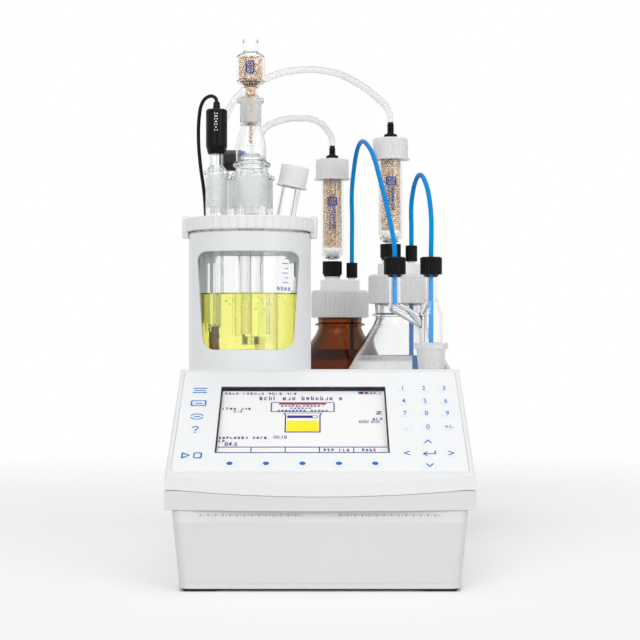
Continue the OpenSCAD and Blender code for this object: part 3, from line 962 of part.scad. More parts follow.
module amber_air_hose() color([0.9, 0.92, 0.93, 0.5]) place() cord([
  [amber_x + drier_dx, amber_y, amber_dr[1] + amber_barb], [amber_x + drier_dx - 0.6, amber_y - 1, 352], [7, 449, 358.6], [1, 438, 363.6], [-8, 420, 365.6], [-18, 400, 363.5], [-26.4, 382, 361], [-37, 360, 355.5], [-46.5, 340, 348], [-54, 322, 334], [-59, 308, 317], [-61.6, 297, 294], [-62, 291.5, 265],
  [-62, 290, 230], [-62, 290, 190], [-62, 290, 165], [nozzle_x + nozzle_span, nozzle_y, nozzle_top]],
  air_d, [0, 0, 1], [0, 0, -1], 12, 3);
module clear_air_hose() color([0.9, 0.92, 0.93, 0.5]) place() cord([
  [clear_x + drier_dx, clear_y, clear_dr[1] + clear_barb], [clear_x + drier_dx - 0.8, clear_y - 0.6, 363], [58, 367, 370], [51, 362, 376], [42, 356, 382.5], [32, 350, 388], [18.6, 340, 393], [4.7, 330, 395], [-12, 320, 394.5], [-30, 309, 390.5], [-45, 300, 384], [-58, 294, 377], [-69, 291, 367], [-77.5, 290, 353],
  [-83, 290, 334], [-85.4, 290, 310], [-86, 290, 280], [-86, 290, 240], [-86, 290, 200], [-86, 290, 168], [nozzle_x, nozzle_y, nozzle_top]],
  air_d, [0, 0, 1], [0, 0, -1], 12, 3);

lower_housing();
upper_housing();
keypad_overlay();
display_lens();
display_bezel();
display_module();
key_board();
main_board();
rear_panel();
rear_sockets();
power_socket();
switch_frame();
power_switch();
stirrer_motor();
magnet_rotor();
air_pump();
air_nozzles();
feet();
case_screws();
cell_holder();
cell_vessel();
stir_bar();
cell_lid();
lid_gasket();
lock_ring();
septum();
septum_cap();
front_stopper();
generator_glass();
generator_plug();
platinum_parts();
drying_tube();
drying_beads();
detector_stem();
detector_head();
detector_cable();
detector_plug();
adapter_glass();
adapter_cap_left();
adapter_cap_right();
parking_socket();
amber_bottle();
amber_insert();
amber_screw_ring();
amber_drier_nut();
amber_hose_nut();
clear_bottle();
clear_insert();
clear_screw_ring();
clear_drier_nut();
clear_hose_nut();
drier_glass();
drier_caps();
drier_beads();
dip_tubes();
amber_hose();
clear_hose();
amber_air_hose();
clear_air_hose();
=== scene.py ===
"""Looks of a coulometric bench titrator: console, titration cell, reagent bottles, driers, hoses and adapter.

Sizes in the classes are millimetres in the maker's own frame: x to the right, y from the front lip back, z up
from the bench. place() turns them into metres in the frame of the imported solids.
"""

from __future__ import annotations

import logging
import math
import random
from dataclasses import dataclass
from enum import Enum
from typing import Callable, Mapping, Sequence, Union

import bpy
from mathutils import Matrix, Vector


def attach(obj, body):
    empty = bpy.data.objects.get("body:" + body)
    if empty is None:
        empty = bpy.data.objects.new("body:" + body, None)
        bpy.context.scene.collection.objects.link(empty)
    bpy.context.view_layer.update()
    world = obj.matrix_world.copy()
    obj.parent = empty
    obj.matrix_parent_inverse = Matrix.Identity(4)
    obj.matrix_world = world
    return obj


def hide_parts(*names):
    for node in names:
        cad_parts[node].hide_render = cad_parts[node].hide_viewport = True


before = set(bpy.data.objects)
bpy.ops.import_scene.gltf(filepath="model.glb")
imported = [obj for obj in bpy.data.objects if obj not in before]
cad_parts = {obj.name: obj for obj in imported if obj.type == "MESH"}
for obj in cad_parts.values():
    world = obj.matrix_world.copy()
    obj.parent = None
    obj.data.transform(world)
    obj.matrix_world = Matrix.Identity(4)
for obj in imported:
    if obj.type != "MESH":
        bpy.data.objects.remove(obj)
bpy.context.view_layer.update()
LOG = logging.getLogger("titrator")

MM = 0.001
CENTRE = (7.0, 250.75)
ROOT_BODY = "console"
PLAIN = (1.0, 1.0, 1.0)
PRINT_GAP = 0.05

Colour = tuple[float, float, float]
Pair = tuple[float, float]
Point = tuple[float, float, float]
Profile = Sequence[Pair]


def place(x: float, y: float, z: float) -> Vector:
    """Point of the maker's frame in millimetres, as metres in the shared frame."""
    return Vector(((x - CENTRE[0]) * MM, (y - CENTRE[1]) * MM, z * MM))


def srgb(*channels: int) -> Colour:
    """Linear colour of an 8 bit display colour.

    Args:
        channels: red, green and blue, 0 to 255.

    Returns:
        The colour's linear shares.
    """
    shares = [part / 255 for part in channels]
    return tuple(part / 12.92 if part <= 0.04045 else ((part + 0.055) / 1.055) ** 2.4 for part in shares)


# ---------------------------------------------------------------- shader graph


class Value:
    """A number on a shader socket, with the arithmetic that adds Math nodes."""

    def __init__(self, graph: "Graph", socket: bpy.types.NodeSocket) -> None:
        """Wraps a socket of a graph."""
        self.graph = graph
        self.socket = socket

    def _math(self, operation: str, first: "Number", second: "Number" = 0.0) -> "Value":
        """Adds one Math node and returns its result."""
        return self.graph.value("ShaderNodeMath", {"operation": operation}, {0: first, 1: second})

    def __add__(self, other: "Number") -> "Value":
        """self + other."""
        return self._math("ADD", self, other)

    __radd__ = __add__

    def __sub__(self, other: "Number") -> "Value":
        """self - other."""
        return self._math("SUBTRACT", self, other)

    def __rsub__(self, other: "Number") -> "Value":
        """other - self."""
        return self._math("SUBTRACT", other, self)

    def __mul__(self, other: "Number") -> "Value":
        """self * other."""
        return self._math("MULTIPLY", self, other)

    __rmul__ = __mul__

    def __pow__(self, other: "Number") -> "Value":
        """self ** other."""
        return self._math("POWER", self, other)

    def above(self, limit: "Number") -> "Value":
        """1 where self is over the limit, else 0."""
        return self._math("GREATER_THAN", self, limit)

    def below(self, limit: "Number") -> "Value":
        """1 where self is under the limit, else 0."""
        return self._math("LESS_THAN", self, limit)

    def or_more(self, other: "Number") -> "Value":
        """The larger of self and other."""
        return self._math("MAXIMUM", self, other)

    def sine(self) -> "Value":
        """Sine of self, in radians."""
        return self._math("SINE", self)

    def clipped(self) -> "Value":
        """self kept between 0 and 1."""
        return self.graph.value("ShaderNodeClamp", {}, {0: self})

    def step(self, low: float, high: float) -> "Value":
        """Smooth rise from 0 at low to 1 at high."""
        limits = {"Value": self, "From Min": low, "From Max": high}
        return self.graph.value("ShaderNodeMapRange", {"interpolation_type": "SMOOTHSTEP"}, limits)

    def within(self, low: float, high: float, soft: float) -> "Value":
        """1 between low and high, with a soft edge that starts at each of them."""
        return self.step(low, low + soft) * (1 - self.step(high, high + soft))


Number = Union[float, Value]
Input = Union[float, Colour, tuple, Value, bpy.types.NodeSocket]
Inputs = Mapping[Union[int, str], Input]


class Graph:
    """Node graph of one material or world."""

    def __init__(self, owner: bpy.types.Material | bpy.types.World, output: str = "ShaderNodeOutputMaterial") -> None:
        """Empties the owner's graph and gives it an output.

        Args:
            owner: the material or world.
            output: type of its output node.
        """
        owner.use_nodes = True
        self.owner = owner
        self.tree = owner.node_tree
        self.tree.nodes.clear()
        self.output = self.tree.nodes.new(output)
        self.principled: bpy.types.Node | None = None
        self._coords: bpy.types.NodeSocket | None = None

    @staticmethod
    def _find(sockets: bpy.types.bpy_prop_collection, key: int | str) -> bpy.types.NodeSocket:
        """Socket by number, identifier or name."""
        named = {} if isinstance(key, int) else {socket.identifier: socket for socket in sockets}
        return named[key] if key in named else sockets[key]

    def feed(self, node: bpy.types.Node, inputs: Inputs) -> None:
        """Sets or links a node's inputs.

        Args:
            node: the node.
            inputs: value, Value or socket, by the input's number, identifier or name.
        """
        for key, value in inputs.items():
            socket = self._find(node.inputs, key)
            if isinstance(value, Value):
                self.tree.links.new(value.socket, socket)
            elif isinstance(value, bpy.types.NodeSocket):
                self.tree.links.new(value, socket)
            elif isinstance(value, tuple) and socket.type == "RGBA" and len(value) == 3:
                socket.default_value = (*value, 1.0)
            else:
                socket.default_value = value

    def node(self, kind: str, settings: Mapping[str, object], inputs: Inputs) -> bpy.types.Node:
        """Adds a node: its settings first, then the values or links of its sockets.

        Args:
            kind: the node's type.
            settings: properties by name.
            inputs: value, Value or socket, by the input's number, identifier or name.

        Returns:
            The new node.
        """
        made = self.tree.nodes.new(kind)
        for name, setting in settings.items():
            setattr(made, name, setting)
        self.feed(made, inputs)
        return made

    def value(self, kind: str, settings: Mapping[str, object], inputs: Inputs, output: int | str = 0) -> Value:
        """Adds a node and returns one of its outputs as a number."""
        return Value(self, self.node(kind, settings, inputs).outputs[output])

    def coords(self) -> bpy.types.NodeSocket:
        """Object coordinates, in metres.

        Returns:
            The socket that gives them.
        """
        if self._coords is None:
            self._coords = self.node("ShaderNodeTexCoord", {}, {}).outputs["Object"]
        return self._coords

    def axis(self, name: str) -> Value:
        """One of the Object coordinates, X, Y or Z."""
        return self.value("ShaderNodeSeparateXYZ", {}, {0: self.coords()}, name)

    def noise(self, scale: float, detail: float = 2.0, stretch: Point = PLAIN, distortion: float = 0.0) -> Value:
        """Noise between 0 and 1.

        Args:
            scale: cells to the metre.
            detail: number of finer layers.
            stretch: factors along x, y and z.
            distortion: how far the cells swirl.

        Returns:
            The noise.
        """
        vector: Input = self.coords()
        if stretch != PLAIN:
            vector = self.node("ShaderNodeMapping", {}, {"Vector": vector, "Scale": stretch}).outputs[0]
        inputs = {"Vector": vector, "Scale": scale, "Detail": detail, "Distortion": distortion}
        return self.value("ShaderNodeTexNoise", {}, inputs)

    def mix(self, factor: Number, first: Input, second: Input) -> bpy.types.NodeSocket:
        """Colour between first and second."""
        inputs = {"Factor_Float": factor, "A_Color": first, "B_Color": second}
        return self._find(self.node("ShaderNodeMix", {"data_type": "RGBA"}, inputs).outputs, "Result_Color")

    def ray(self, kind: str) -> Value:
        """1 for rays of a kind, such as Is Camera Ray, else 0."""
        return self.value("ShaderNodeLightPath", {}, {}, kind)

    def facing(self, blend: float) -> Value:
        """0 where the surface faces the ray, 1 at its rim."""
        return self.value("ShaderNodeLayerWeight", {}, {"Blend": blend}, "Facing")

    def rounded(self, radius: float) -> bpy.types.NodeSocket:
        """Normal that runs softly over edges, as moulded edges do; the radius is in metres."""
        return self.node("ShaderNodeBevel", {"samples": 4}, {"Radius": radius}).outputs[0]

    def bump(self, height: Value, distance: float, edge: float = 0.0) -> bpy.types.NodeSocket:
        """Normal bent by a height.

        Args:
            height: the height.
            distance: its size in metres.
            edge: radius in metres to which edges are softened.

        Returns:
            The normal.
        """
        inputs: dict[int | str, Input] = {"Height": height, "Distance": distance}
        if edge > 0:
            inputs["Normal"] = self.rounded(edge)
        return self.node("ShaderNodeBump", {}, inputs).outputs[0]

    def surface(self, **inputs: Input) -> bpy.types.Node:
        """Principled surface on the output.

        Args:
            inputs: its inputs, with an underscore for each space in a socket's name.

        Returns:
            The shader.
        """
        named = {key.replace("_", " "): value for key, value in inputs.items()}
        self.principled = self.node("ShaderNodeBsdfPrincipled", {}, named)
        return self.shown(self.principled)

    def shown(self, shader: bpy.types.Node) -> bpy.types.Node:
        """Puts a shader on the output."""
        self.tree.links.new(shader.outputs[0], self.output.inputs["Surface"])
        return shader

    def blended(self, share: Input, first: bpy.types.Node, second: bpy.types.Node) -> bpy.types.Node:
        """Mixes two shaders and puts the result on the output."""
        return self.shown(self.node("ShaderNodeMixShader", {}, {0: share, 1: first.outputs[0], 2: second.outputs[0]}))

    def milky(self, shader: bpy.types.Node, share: Number, colour: Input, chalky: float = 0.7) -> bpy.types.Node:
        """Mixes in a white body that light soaks through, as in ground glass and thin polypropylene.

        Args:
            shader: the clear surface.
            share: how much of the body shows.
            colour: the body's colour.
            chalky: how much of the body throws light back, the rest lets it through.

        Returns:
            The mixed shader.
        """
        soak = self.node("ShaderNodeBsdfTranslucent", {}, {"Color": colour})
        chalk = self.node("ShaderNodeBsdfDiffuse", {}, {"Color": colour})
        return self.blended(share, shader, self.blended(chalky, soak, chalk))

    def lets_light_in(self, shader: bpy.types.Node, colour: Colour) -> bpy.types.Node:
        """Lets the lamps reach what stands inside.

        Args:
            shader: the glass or liquid.
            colour: tint of the light that comes through.

        Returns:
            The mixed shader.
        """
        clear = self.node("ShaderNodeBsdfTransparent", {}, {"Color": colour})
        return self.blended(self.ray("Is Shadow Ray"), shader, clear)


# ---------------------------------------------------------------- finishes


def darker(colour: Colour, share: float) -> Colour:
    """A colour times a share."""
    return tuple(part * share for part in colour)


@dataclass(frozen=True)
class Finish:
    """A named finish; each kind paints its own material."""

    name: str

    def paint(self, graph: Graph) -> None:
        """Adds the finish's nodes to an empty graph."""
        raise NotImplementedError

    def build(self) -> bpy.types.Material:
        """The finish's material.

        Returns:
            The new material.
        """
        graph = Graph(bpy.data.materials.new(self.name))
        self.paint(graph)
        return graph.owner


@dataclass(frozen=True)
class MouldedPlastic(Finish):
    """Injection moulded plastic: fine spark-eroded grain, slight colour drift, softly rounded edges."""

    colour: Colour = (0.8, 0.8, 0.8)
    roughness: float = 0.45
    drift: float = 0.05
    grain: float = 0.00002
    grain_scale: float = 2600.0
    edge: float = 0.0005
    coat: float = 0.0
    specular: float = 0.45

    def paint(self, graph: Graph) -> None:
        """Paints grain, drift and handling marks.

        Args:
            graph: the material's empty graph.
        """
        cloud = graph.noise(14.0, 3.0)
        grain = graph.noise(self.grain_scale, 3.0)
        handled = graph.noise(60.0, 4.0)
        graph.surface(
            Base_Color=graph.mix(cloud, darker(self.colour, 1 - self.drift), self.colour),
            Roughness=self.roughness + (handled - 0.5) * 0.16 + (grain - 0.5) * 0.1,
            Specular_IOR_Level=self.specular,
            Coat_Weight=self.coat,
            Coat_Roughness=0.12,
            Normal=graph.bump(grain, self.grain, self.edge),
        )


@dataclass(frozen=True)
class WindowedPlastic(MouldedPlastic):
    """Moulded plastic with a clear sight window let into its rear wall, in mm of the maker's frame."""

    across: Pair = (-93.0, -14.0)
    up: Pair = (160.0, 227.0)
    behind: float = 205.0
    soft: float = 0.003

    def paint(self, graph: Graph) -> None:
        """Paints the plastic and cuts its window.

        Args:
            graph: the material's empty graph.
        """
        super().paint(graph)
        low, high = (place(self.across[end], self.behind, self.up[end]) for end in (0, 1))
        x, y, z = (graph.axis(name) for name in "XYZ")
        across, up = x.within(low.x, high.x - self.soft, self.soft), z.within(low.z, high.z - self.soft, self.soft)
        graph.feed(graph.principled, {"Alpha": 1 - across * up * y.above(low.y)})


@dataclass(frozen=True)
class CollaredPlug(Finish):
    """Black plastic plug with a coloured collar beyond a plane across X."""

    plug: Colour = (0.015, 0.015, 0.017)
    collar: Colour = (0.02, 0.1, 0.5)
    limit: float = 0.0

    def paint(self, graph: Graph) -> None:
        """Paints plug and collar.

        Args:
            graph: the material's empty graph.
        """
        ribs = graph.noise(900.0, 2.0, (0.1, 1.0, 1.0))
        graph.surface(
            Base_Color=graph.mix(graph.axis("X").above(self.limit), self.plug, self.collar),
            Roughness=0.35 + graph.noise(70.0, 3.0) * 0.12,
            Normal=graph.bump(ribs, 0.00004, 0.0004),
        )


@dataclass(frozen=True)
class ClearGlass(Finish):
    """Blown borosilicate glass with painted shade that darkens it towards its rims, and ground zones given as boxes
    (x0, x1, z0, z1) in mm.
    """

    tint: Colour = (0.985, 0.992, 0.99)
    # rim is the colour of the painted shade at the rims, where the glass turns away from the eye.
    rim: Colour = (0.30, 0.33, 0.34)
    rim_shade_blend: float = 0.35
    roughness: float = 0.0
    ground: tuple[tuple[float, float, float, float], ...] = ()
    wobble: float = 0.00004
    ior: float = 1.47
    milk: float = 0.16

    def ground_mask(self, graph: Graph) -> Number:
        """Where the glass is ground.

        Args:
            graph: the material's graph.

        Returns:
            1 in the ground zones, else 0.
        """
        mask: Number = 0.0
        for x0, x1, z0, z1 in self.ground:
            low, high = place(x0, 0, z0), place(x1, 0, z1)
            across = graph.axis("X").within(low.x, high.x, 0.0002)
            mask = across * graph.axis("Z").within(low.z, high.z, 0.0006) + mask
        return mask.clipped() if self.ground else 0.0

    def paint(self, graph: Graph) -> None:
        """Paints the glass.

        Args:
            graph: the material's empty graph.
        """
        # Painted shade: the colour runs to the rim colour where the glass turns away from the eye.
        colour: Input = graph.mix(graph.facing(self.rim_shade_blend) ** 3.0, self.tint, self.rim)
        roughness: Number = self.roughness + graph.noise(30.0) * 0.01
        waves = graph.noise(24.0, 1.0, (1.0, 1.0, 0.35))
        height = waves
        mask = self.ground_mask(graph)
        if self.ground:
            sand = graph.noise(3200.0, 3.0)
            colour = graph.mix(mask, colour, graph.mix(sand, srgb(246, 247, 247), srgb(254, 254, 254)))
            roughness = roughness + mask * (0.2 + 0.12 * sand)
            height = waves * (1 - mask) + sand * mask * 1.2
        shader = graph.surface(
            Base_Color=colour,
            Roughness=roughness,
            IOR=self.ior,
            Transmission_Weight=1.0,
            Normal=graph.bump(height, self.wobble),
        )
        if self.ground:
            shader = graph.milky(shader, mask * self.milk, srgb(242, 244, 244))
        graph.lets_light_in(shader, self.tint)


@dataclass(frozen=True)
class Liquid(Finish):
    """Clear or dyed liquid, a little deeper and darker in colour towards its rim, as painted shade."""

    colour: Colour = (0.9, 0.9, 0.9)
    deep: Colour = (0.8, 0.8, 0.8)
    ior: float = 1.34

    def paint(self, graph: Graph) -> None:
        """Paints the liquid.

        Args:
            graph: the material's empty graph.
        """
        swirl = graph.noise(22.0, 2.0, (1.0, 1.0, 0.4), 0.6)
        # Painted shade: deeper colour towards the rim, where the liquid turns away from the eye, with swirls of tone
        # in it.
        rim = (graph.facing(0.4) ** 2.0 * 0.8 + swirl * 0.25).clipped()
        shader = graph.surface(
            Base_Color=graph.mix(rim, self.colour, self.deep),
            Roughness=swirl * 0.01,
            IOR=self.ior,
            Transmission_Weight=1.0,
        )
        graph.lets_light_in(shader, self.colour)


@dataclass(frozen=True)
class TranslucentPlastic(Finish):
    """Milky polypropylene that lets part of the light through, with painted shade towards its rims; thread is the
    depth of the painted shade lines of the thread seen in it.
    """

    colour: Colour = (0.85, 0.87, 0.88)
    # shade is the colour of the painted shade at the rims and in the thread lines.
    shade: Colour = (0.6, 0.62, 0.64)
    clear: float = 0.3
    roughness: float = 0.35
    milk: float = 0.5
    thread: float = 0.0
    thread_pitch: float = 2.2

    def paint(self, graph: Graph) -> None:
        """Paints the plastic and the lines of its thread.

        Args:
            graph: the material's empty graph.
        """
        # Painted shade: the colour runs to the shade colour where the surface turns away from the eye, with random
        # tone in it.
        rim = (graph.facing(0.3) ** 3.0 * 0.7 + graph.noise(90.0, 3.0) * 0.1).clipped()
        colour = graph.mix(rim, self.colour, self.shade)
        grain = graph.noise(1500.0, 2.0)
        # Painted shade: lines of the thread, seen through the wall, drawn in the shade colour.
        if self.thread > 0:
            turns = (graph.axis("Z") * (2 * math.pi / (self.thread_pitch * MM))).sine()
            colour = graph.mix((turns * 0.5 + 0.5) ** 2.0 * self.thread, colour, self.shade)
        shader = graph.surface(
            Base_Color=colour,
            Roughness=self.roughness + grain * 0.1,
            IOR=1.4,
            Transmission_Weight=self.clear,
            Normal=graph.bump(grain, 0.00002, 0.0003),
        )
        graph.milky(shader, self.milk, colour)


@dataclass(frozen=True)
class Metal(Finish):
    """Plated or turned metal with fine marks of the tool."""

    colour: Colour = (0.6, 0.6, 0.6)
    roughness: float = 0.3
    lay: Point = (1.0, 1.0, 12.0)

    def paint(self, graph: Graph) -> None:
        """Paints the metal.

        Args:
            graph: the material's empty graph.
        """
        marks = graph.noise(500.0, 3.0, self.lay)
        graph.surface(
            Base_Color=graph.mix(graph.noise(40.0, 3.0), darker(self.colour, 0.86), self.colour),
            Metallic=1.0,
            Roughness=self.roughness + (marks - 0.5) * 0.15,
            Normal=graph.bump(marks, 0.00001, 0.0003),
        )


@dataclass(frozen=True)
class Circuit(Finish):
    """Green circuit board with copper lines under its lacquer."""

    board: Colour = (0.01, 0.16, 0.06)
    copper: Colour = (0.03, 0.28, 0.10)

    def paint(self, graph: Graph) -> None:
        """Paints board and lines.

        Args:
            graph: the material's empty graph.
        """
        inputs = {"Vector": graph.coords(), "Scale": 220.0}
        lines = graph.value("ShaderNodeTexVoronoi", {"feature": "DISTANCE_TO_EDGE"}, inputs, "Distance").below(0.07)
        graph.surface(
            Base_Color=graph.mix(lines, self.board, self.copper),
            Roughness=0.3 + lines * 0.15,
            Normal=graph.bump(lines, 0.00003),
        )


@dataclass(frozen=True)
class DisplayGround(Finish):
    """Pale ground of the liquid crystal display, with its fine grid of points; its colour is painted shade, darker
    than the display's own, to offset the extra light that reaches it through the lens.
    """

    # Painted shade: darker than the display's own colour, to offset the extra light that reaches it through the lens.
    colour: Colour = srgb(205, 205, 204)

    def paint(self, graph: Graph) -> None:
        """Paints the ground.

        Args:
            graph: the material's empty graph.
        """
        points = graph.noise(5200.0, 0.0)
        tone = (graph.noise(20.0, 2.0) * 0.6 + points * 0.4).clipped()
        graph.surface(Base_Color=graph.mix(tone, darker(self.colour, 0.96), self.colour), Roughness=0.5 + points * 0.1)


@dataclass(frozen=True)
class Ink(Finish):
    """Printed or displayed colour with slight unevenness."""

    colour: Colour = (0.0, 0.2, 0.6)
    roughness: float = 0.45

    def paint(self, graph: Graph) -> None:
        """Paints the ink.

        Args:
            graph: the material's empty graph.
        """
        worn = graph.noise(700.0, 3.0)
        light = tuple(min(1.0, part * 1.12) for part in self.colour)
        colour = graph.mix(worn, self.colour, light)
        graph.surface(Base_Color=colour, Roughness=self.roughness + worn * 0.1, Specular_IOR_Level=0.2)


@dataclass(frozen=True)
class Beads(Finish):
    """Molecular sieve beads; each bead has its own tone, held on its mesh."""

    dark: Colour = srgb(206, 160, 116)
    light: Colour = srgb(255, 240, 218)

    def paint(self, graph: Graph) -> None:
        """Paints the beads.

        Args:
            graph: the material's empty graph.
        """
        tone = graph.value("ShaderNodeAttribute", {"attribute_name": "tone"}, {}, "Fac")
        dust = graph.noise(1800.0, 3.0)
        graph.surface(
            Base_Color=graph.mix((tone * 0.85 + dust * 0.2).clipped(), self.dark, self.light),
            Roughness=0.62 + dust * 0.2,
            Normal=graph.bump(dust, 0.00003),
        )


@dataclass(frozen=True)
class HoseSkin(Finish):
    """Extruded hose: glossy, with faint drawing lines along it, and painted shade towards its rims."""

    colour: Colour = (0.0, 0.3, 0.7)
    # rim is the colour of the painted shade at the hose's rims.
    rim: Colour = (0.0, 0.15, 0.5)
    clear: float = 0.0
    roughness: float = 0.25
    specular: float = 0.25

    def paint(self, graph: Graph) -> None:
        """Paints the hose.

        Args:
            graph: the material's empty graph.
        """
        # Painted shade: the colour runs to the rim colour where the hose turns away from the eye, with random tone in
        # it.
        rim = (graph.facing(0.4) ** 2.5 + graph.noise(18.0, 1.0) * 0.1).clipped()
        lines = graph.noise(90.0, 1.0)
        graph.surface(
            Base_Color=graph.mix(rim, self.colour, self.rim),
            Roughness=self.roughness + lines * 0.08,
            IOR=1.4,
            Transmission_Weight=self.clear,
            Specular_IOR_Level=self.specular,
            Normal=graph.bump(lines, 0.00001),
        )


LID_SOCKETS = ((-120.0, -39.0, 266.0, 288.0),)
GROUND_CONES = ((-120.0, 0.0, 262.0, 291.0), (-120.0, 0.0, 333.0, 351.0))


class Palette:
    """Every finish of the instrument, built once each."""

    case = MouldedPlastic("case_white", srgb(240, 240, 241), 0.42)
    case_lower = MouldedPlastic("case_grey", srgb(227, 225, 226), 0.5)
    overlay = MouldedPlastic("overlay_film", srgb(244, 246, 248), 0.35, 0.012, 0.000008, 3200.0, 0.0003)
    # In the glass finishes the rim colour is painted shade at the glass's rims.
    lens = ClearGlass("window_lens", (0.99, 0.99, 0.99), (0.9, 0.9, 0.92), 0.2, 0.0, (), 0.0, 1.08)
    bezel = MouldedPlastic("bezel_black", (0.008, 0.008, 0.016), 0.4, specular=0.2)
    display = DisplayGround("display_face")
    circuit = Circuit("circuit_board")
    rear = MouldedPlastic("rear_plate", srgb(214, 216, 218), 0.45)
    nickel = Metal("nickel", (0.68, 0.67, 0.64), 0.25)
    steel = Metal("screw_steel", (0.52, 0.53, 0.55), 0.32)
    black = MouldedPlastic("black_plastic", (0.005, 0.005, 0.006), 0.42, 0.3, 0.00003, 1800.0, 0.0004, specular=0.13)
    gloss = MouldedPlastic("black_gloss", (0.003, 0.003, 0.0035), 0.24, 0.3, 0.000006, 900.0, 0.0005, specular=0.14)
    motor = Metal("motor_can", (0.45, 0.46, 0.48), 0.38, (1.0, 1.0, 20.0))
    rotor = Metal("rotor_zinc", (0.6, 0.61, 0.63), 0.35)
    nozzle = MouldedPlastic("nozzle_grey", srgb(205, 208, 212), 0.4)
    feet = MouldedPlastic("foot_rubber", (0.014, 0.013, 0.013), 0.75, 0.3, 0.00005, 1400.0)
    holder = WindowedPlastic("holder_white", srgb(236, 238, 240), 0.32, 0.03, 0.00001, 1800.0, 0.0012, 0.15)
    ring = MouldedPlastic("ring_white", srgb(242, 242, 241), 0.34, 0.03, 0.00001, 1800.0, 0.0006, 0.1)
    vessel = ClearGlass("vessel_glass", rim=(0.82, 0.84, 0.76), rim_shade_blend=0.2)
    lid = ClearGlass("lid_glass", rim=(0.2, 0.22, 0.23), rim_shade_blend=0.45, ground=LID_SOCKETS, milk=0.34)
    ground = ClearGlass("ground_glass", rim=(0.22, 0.24, 0.25), rim_shade_blend=0.42, ground=GROUND_CONES, milk=0.34)
    clear = ClearGlass("clear_glass", rim=(0.1, 0.11, 0.12), rim_shade_blend=0.46)
    tube = ClearGlass("drier_tube_glass", rim=(0.55, 0.56, 0.56), rim_shade_blend=0.35)
    bottle = ClearGlass("bottle_glass", (0.985, 0.99, 0.988), (0.05, 0.06, 0.065), 0.7, wobble=0.00016)
    amber = ClearGlass("amber_glass", (0.40, 0.165, 0.004), (0.012, 0.004, 0.001), 0.85, wobble=0.00014, ior=1.28)
    # The second colour of the translucent plastics is painted shade at their rims and thread lines.
    frosted = TranslucentPlastic("frosted_socket", srgb(255, 255, 255), srgb(240, 241, 243), 0.7, 0.22, 0.45)
    cap = TranslucentPlastic("cap_translucent", srgb(255, 255, 254), srgb(244, 243, 241), 0.4, 0.26, 0.84, 0.1, 1.5)
    screw = TranslucentPlastic("ring_translucent", srgb(255, 255, 255), srgb(206, 206, 206), 0.6, 0.2, 0.76, 0.28, 1.9)
    insert = MouldedPlastic("insert_white", srgb(243, 244, 246), 0.36, 0.02, 0.00001)
    gasket = MouldedPlastic("gasket_pale", srgb(222, 222, 214), 0.5)
    septum = MouldedPlastic("septum_rubber", srgb(206, 188, 160), 0.7)
    bar = MouldedPlastic("stir_bar_white", srgb(240, 240, 238), 0.25)
    platinum = Metal("platinum", (0.72, 0.71, 0.69), 0.22)
    beads = Beads("sieve_beads")
    # Painted shade: dark brown that shows in the gaps between the beads.
    bead_shade = MouldedPlastic("sieve_painted_shade", srgb(112, 72, 42), 0.8, 0.3, 0.0001, 700.0)
    cotton = MouldedPlastic("drier_cotton", srgb(246, 245, 242), 0.9, 0.08, 0.0004, 500.0, 0.0002)
    # The second colour of each hose is painted shade at its rims.
    cable = HoseSkin("cable_black", (0.014, 0.011, 0.009), (0.006, 0.005, 0.004), 0.0, 0.45)
    blue = HoseSkin("blue_hose", srgb(0, 150, 226), srgb(0, 98, 200), 0.0, 0.32, 0.08)
    milky = HoseSkin("air_hose", srgb(255, 254, 252), srgb(226, 222, 216), 0.7, 0.16, 0.3)
    dip = HoseSkin("dip_tube", srgb(20, 110, 200), srgb(10, 60, 150), 0.1, 0.25)
    plug = CollaredPlug("generator_plug", limit=place(-64.6, 0, 0).x)
    # The deep colours of the liquids are painted shade towards their rims.
    solution = Liquid("yellow_solution", (1.0, 0.985, 0.24), (0.96, 0.89, 0.04), 1.36)
    solvent = Liquid("clear_solvent", (0.985, 0.99, 0.99), (0.9, 0.92, 0.92), 1.33)
    waste = Liquid("brown_solvent", (0.80, 0.55, 0.25), (0.50, 0.28, 0.08), 1.34)
    bubble = ClearGlass("bubble", (1.0, 1.0, 0.98), (0.9, 0.9, 0.8), ior=1.16)
    legend = Ink("legend_blue", srgb(38, 124, 204))
    dot = Ink("dot_blue", srgb(0, 110, 198))
    vent = Ink("vent_grey", srgb(190, 187, 187))
    mark_white = Ink("mark_white", srgb(236, 238, 240))
    mark = Ink("mark_blue", srgb(36, 76, 170))
    screen_line = Ink("screen_blue", srgb(30, 22, 112))
    screen_fill = Ink("screen_yellow", srgb(205, 192, 8))
    screen_red = Ink("screen_red", srgb(146, 26, 32))

    _built: dict[str, bpy.types.Material] = {}

    @classmethod
    def material(cls, finish: Finish) -> bpy.types.Material:
        """Material of a finish, built at its first use.

        Args:
            finish: the finish.

        Returns:
            Its material.
        """
        if finish.name not in cls._built:
            cls._built[finish.name] = finish.build()
        return cls._built[finish.name]


def dress(finish: Finish, *nodes: str) -> None:
    """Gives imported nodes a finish.

    Args:
        finish: the finish.
        nodes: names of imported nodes.
    """
    for name in nodes:
        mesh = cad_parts[name].data
        mesh.materials.clear()
        mesh.materials.append(Palette.material(finish))


def settle(
    piece: bpy.types.Object, finish: Finish, body: str = ROOT_BODY, replaces: Sequence[str] = ()
) -> None:
    """Gives a new piece its finish, slot and body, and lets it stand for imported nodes.

    Args:
        piece: the finished piece.
        finish: its finish.
        body: the body it moves with.
        replaces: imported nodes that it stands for.
    """
    piece.data.materials.clear()
    piece.data.materials.append(Palette.material(finish))
    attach(piece, body)
    if replaces:
        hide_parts(*replaces)
    LOG.info("%s rides on %s", piece.name, body)


# ---------------------------------------------------------------- modelling


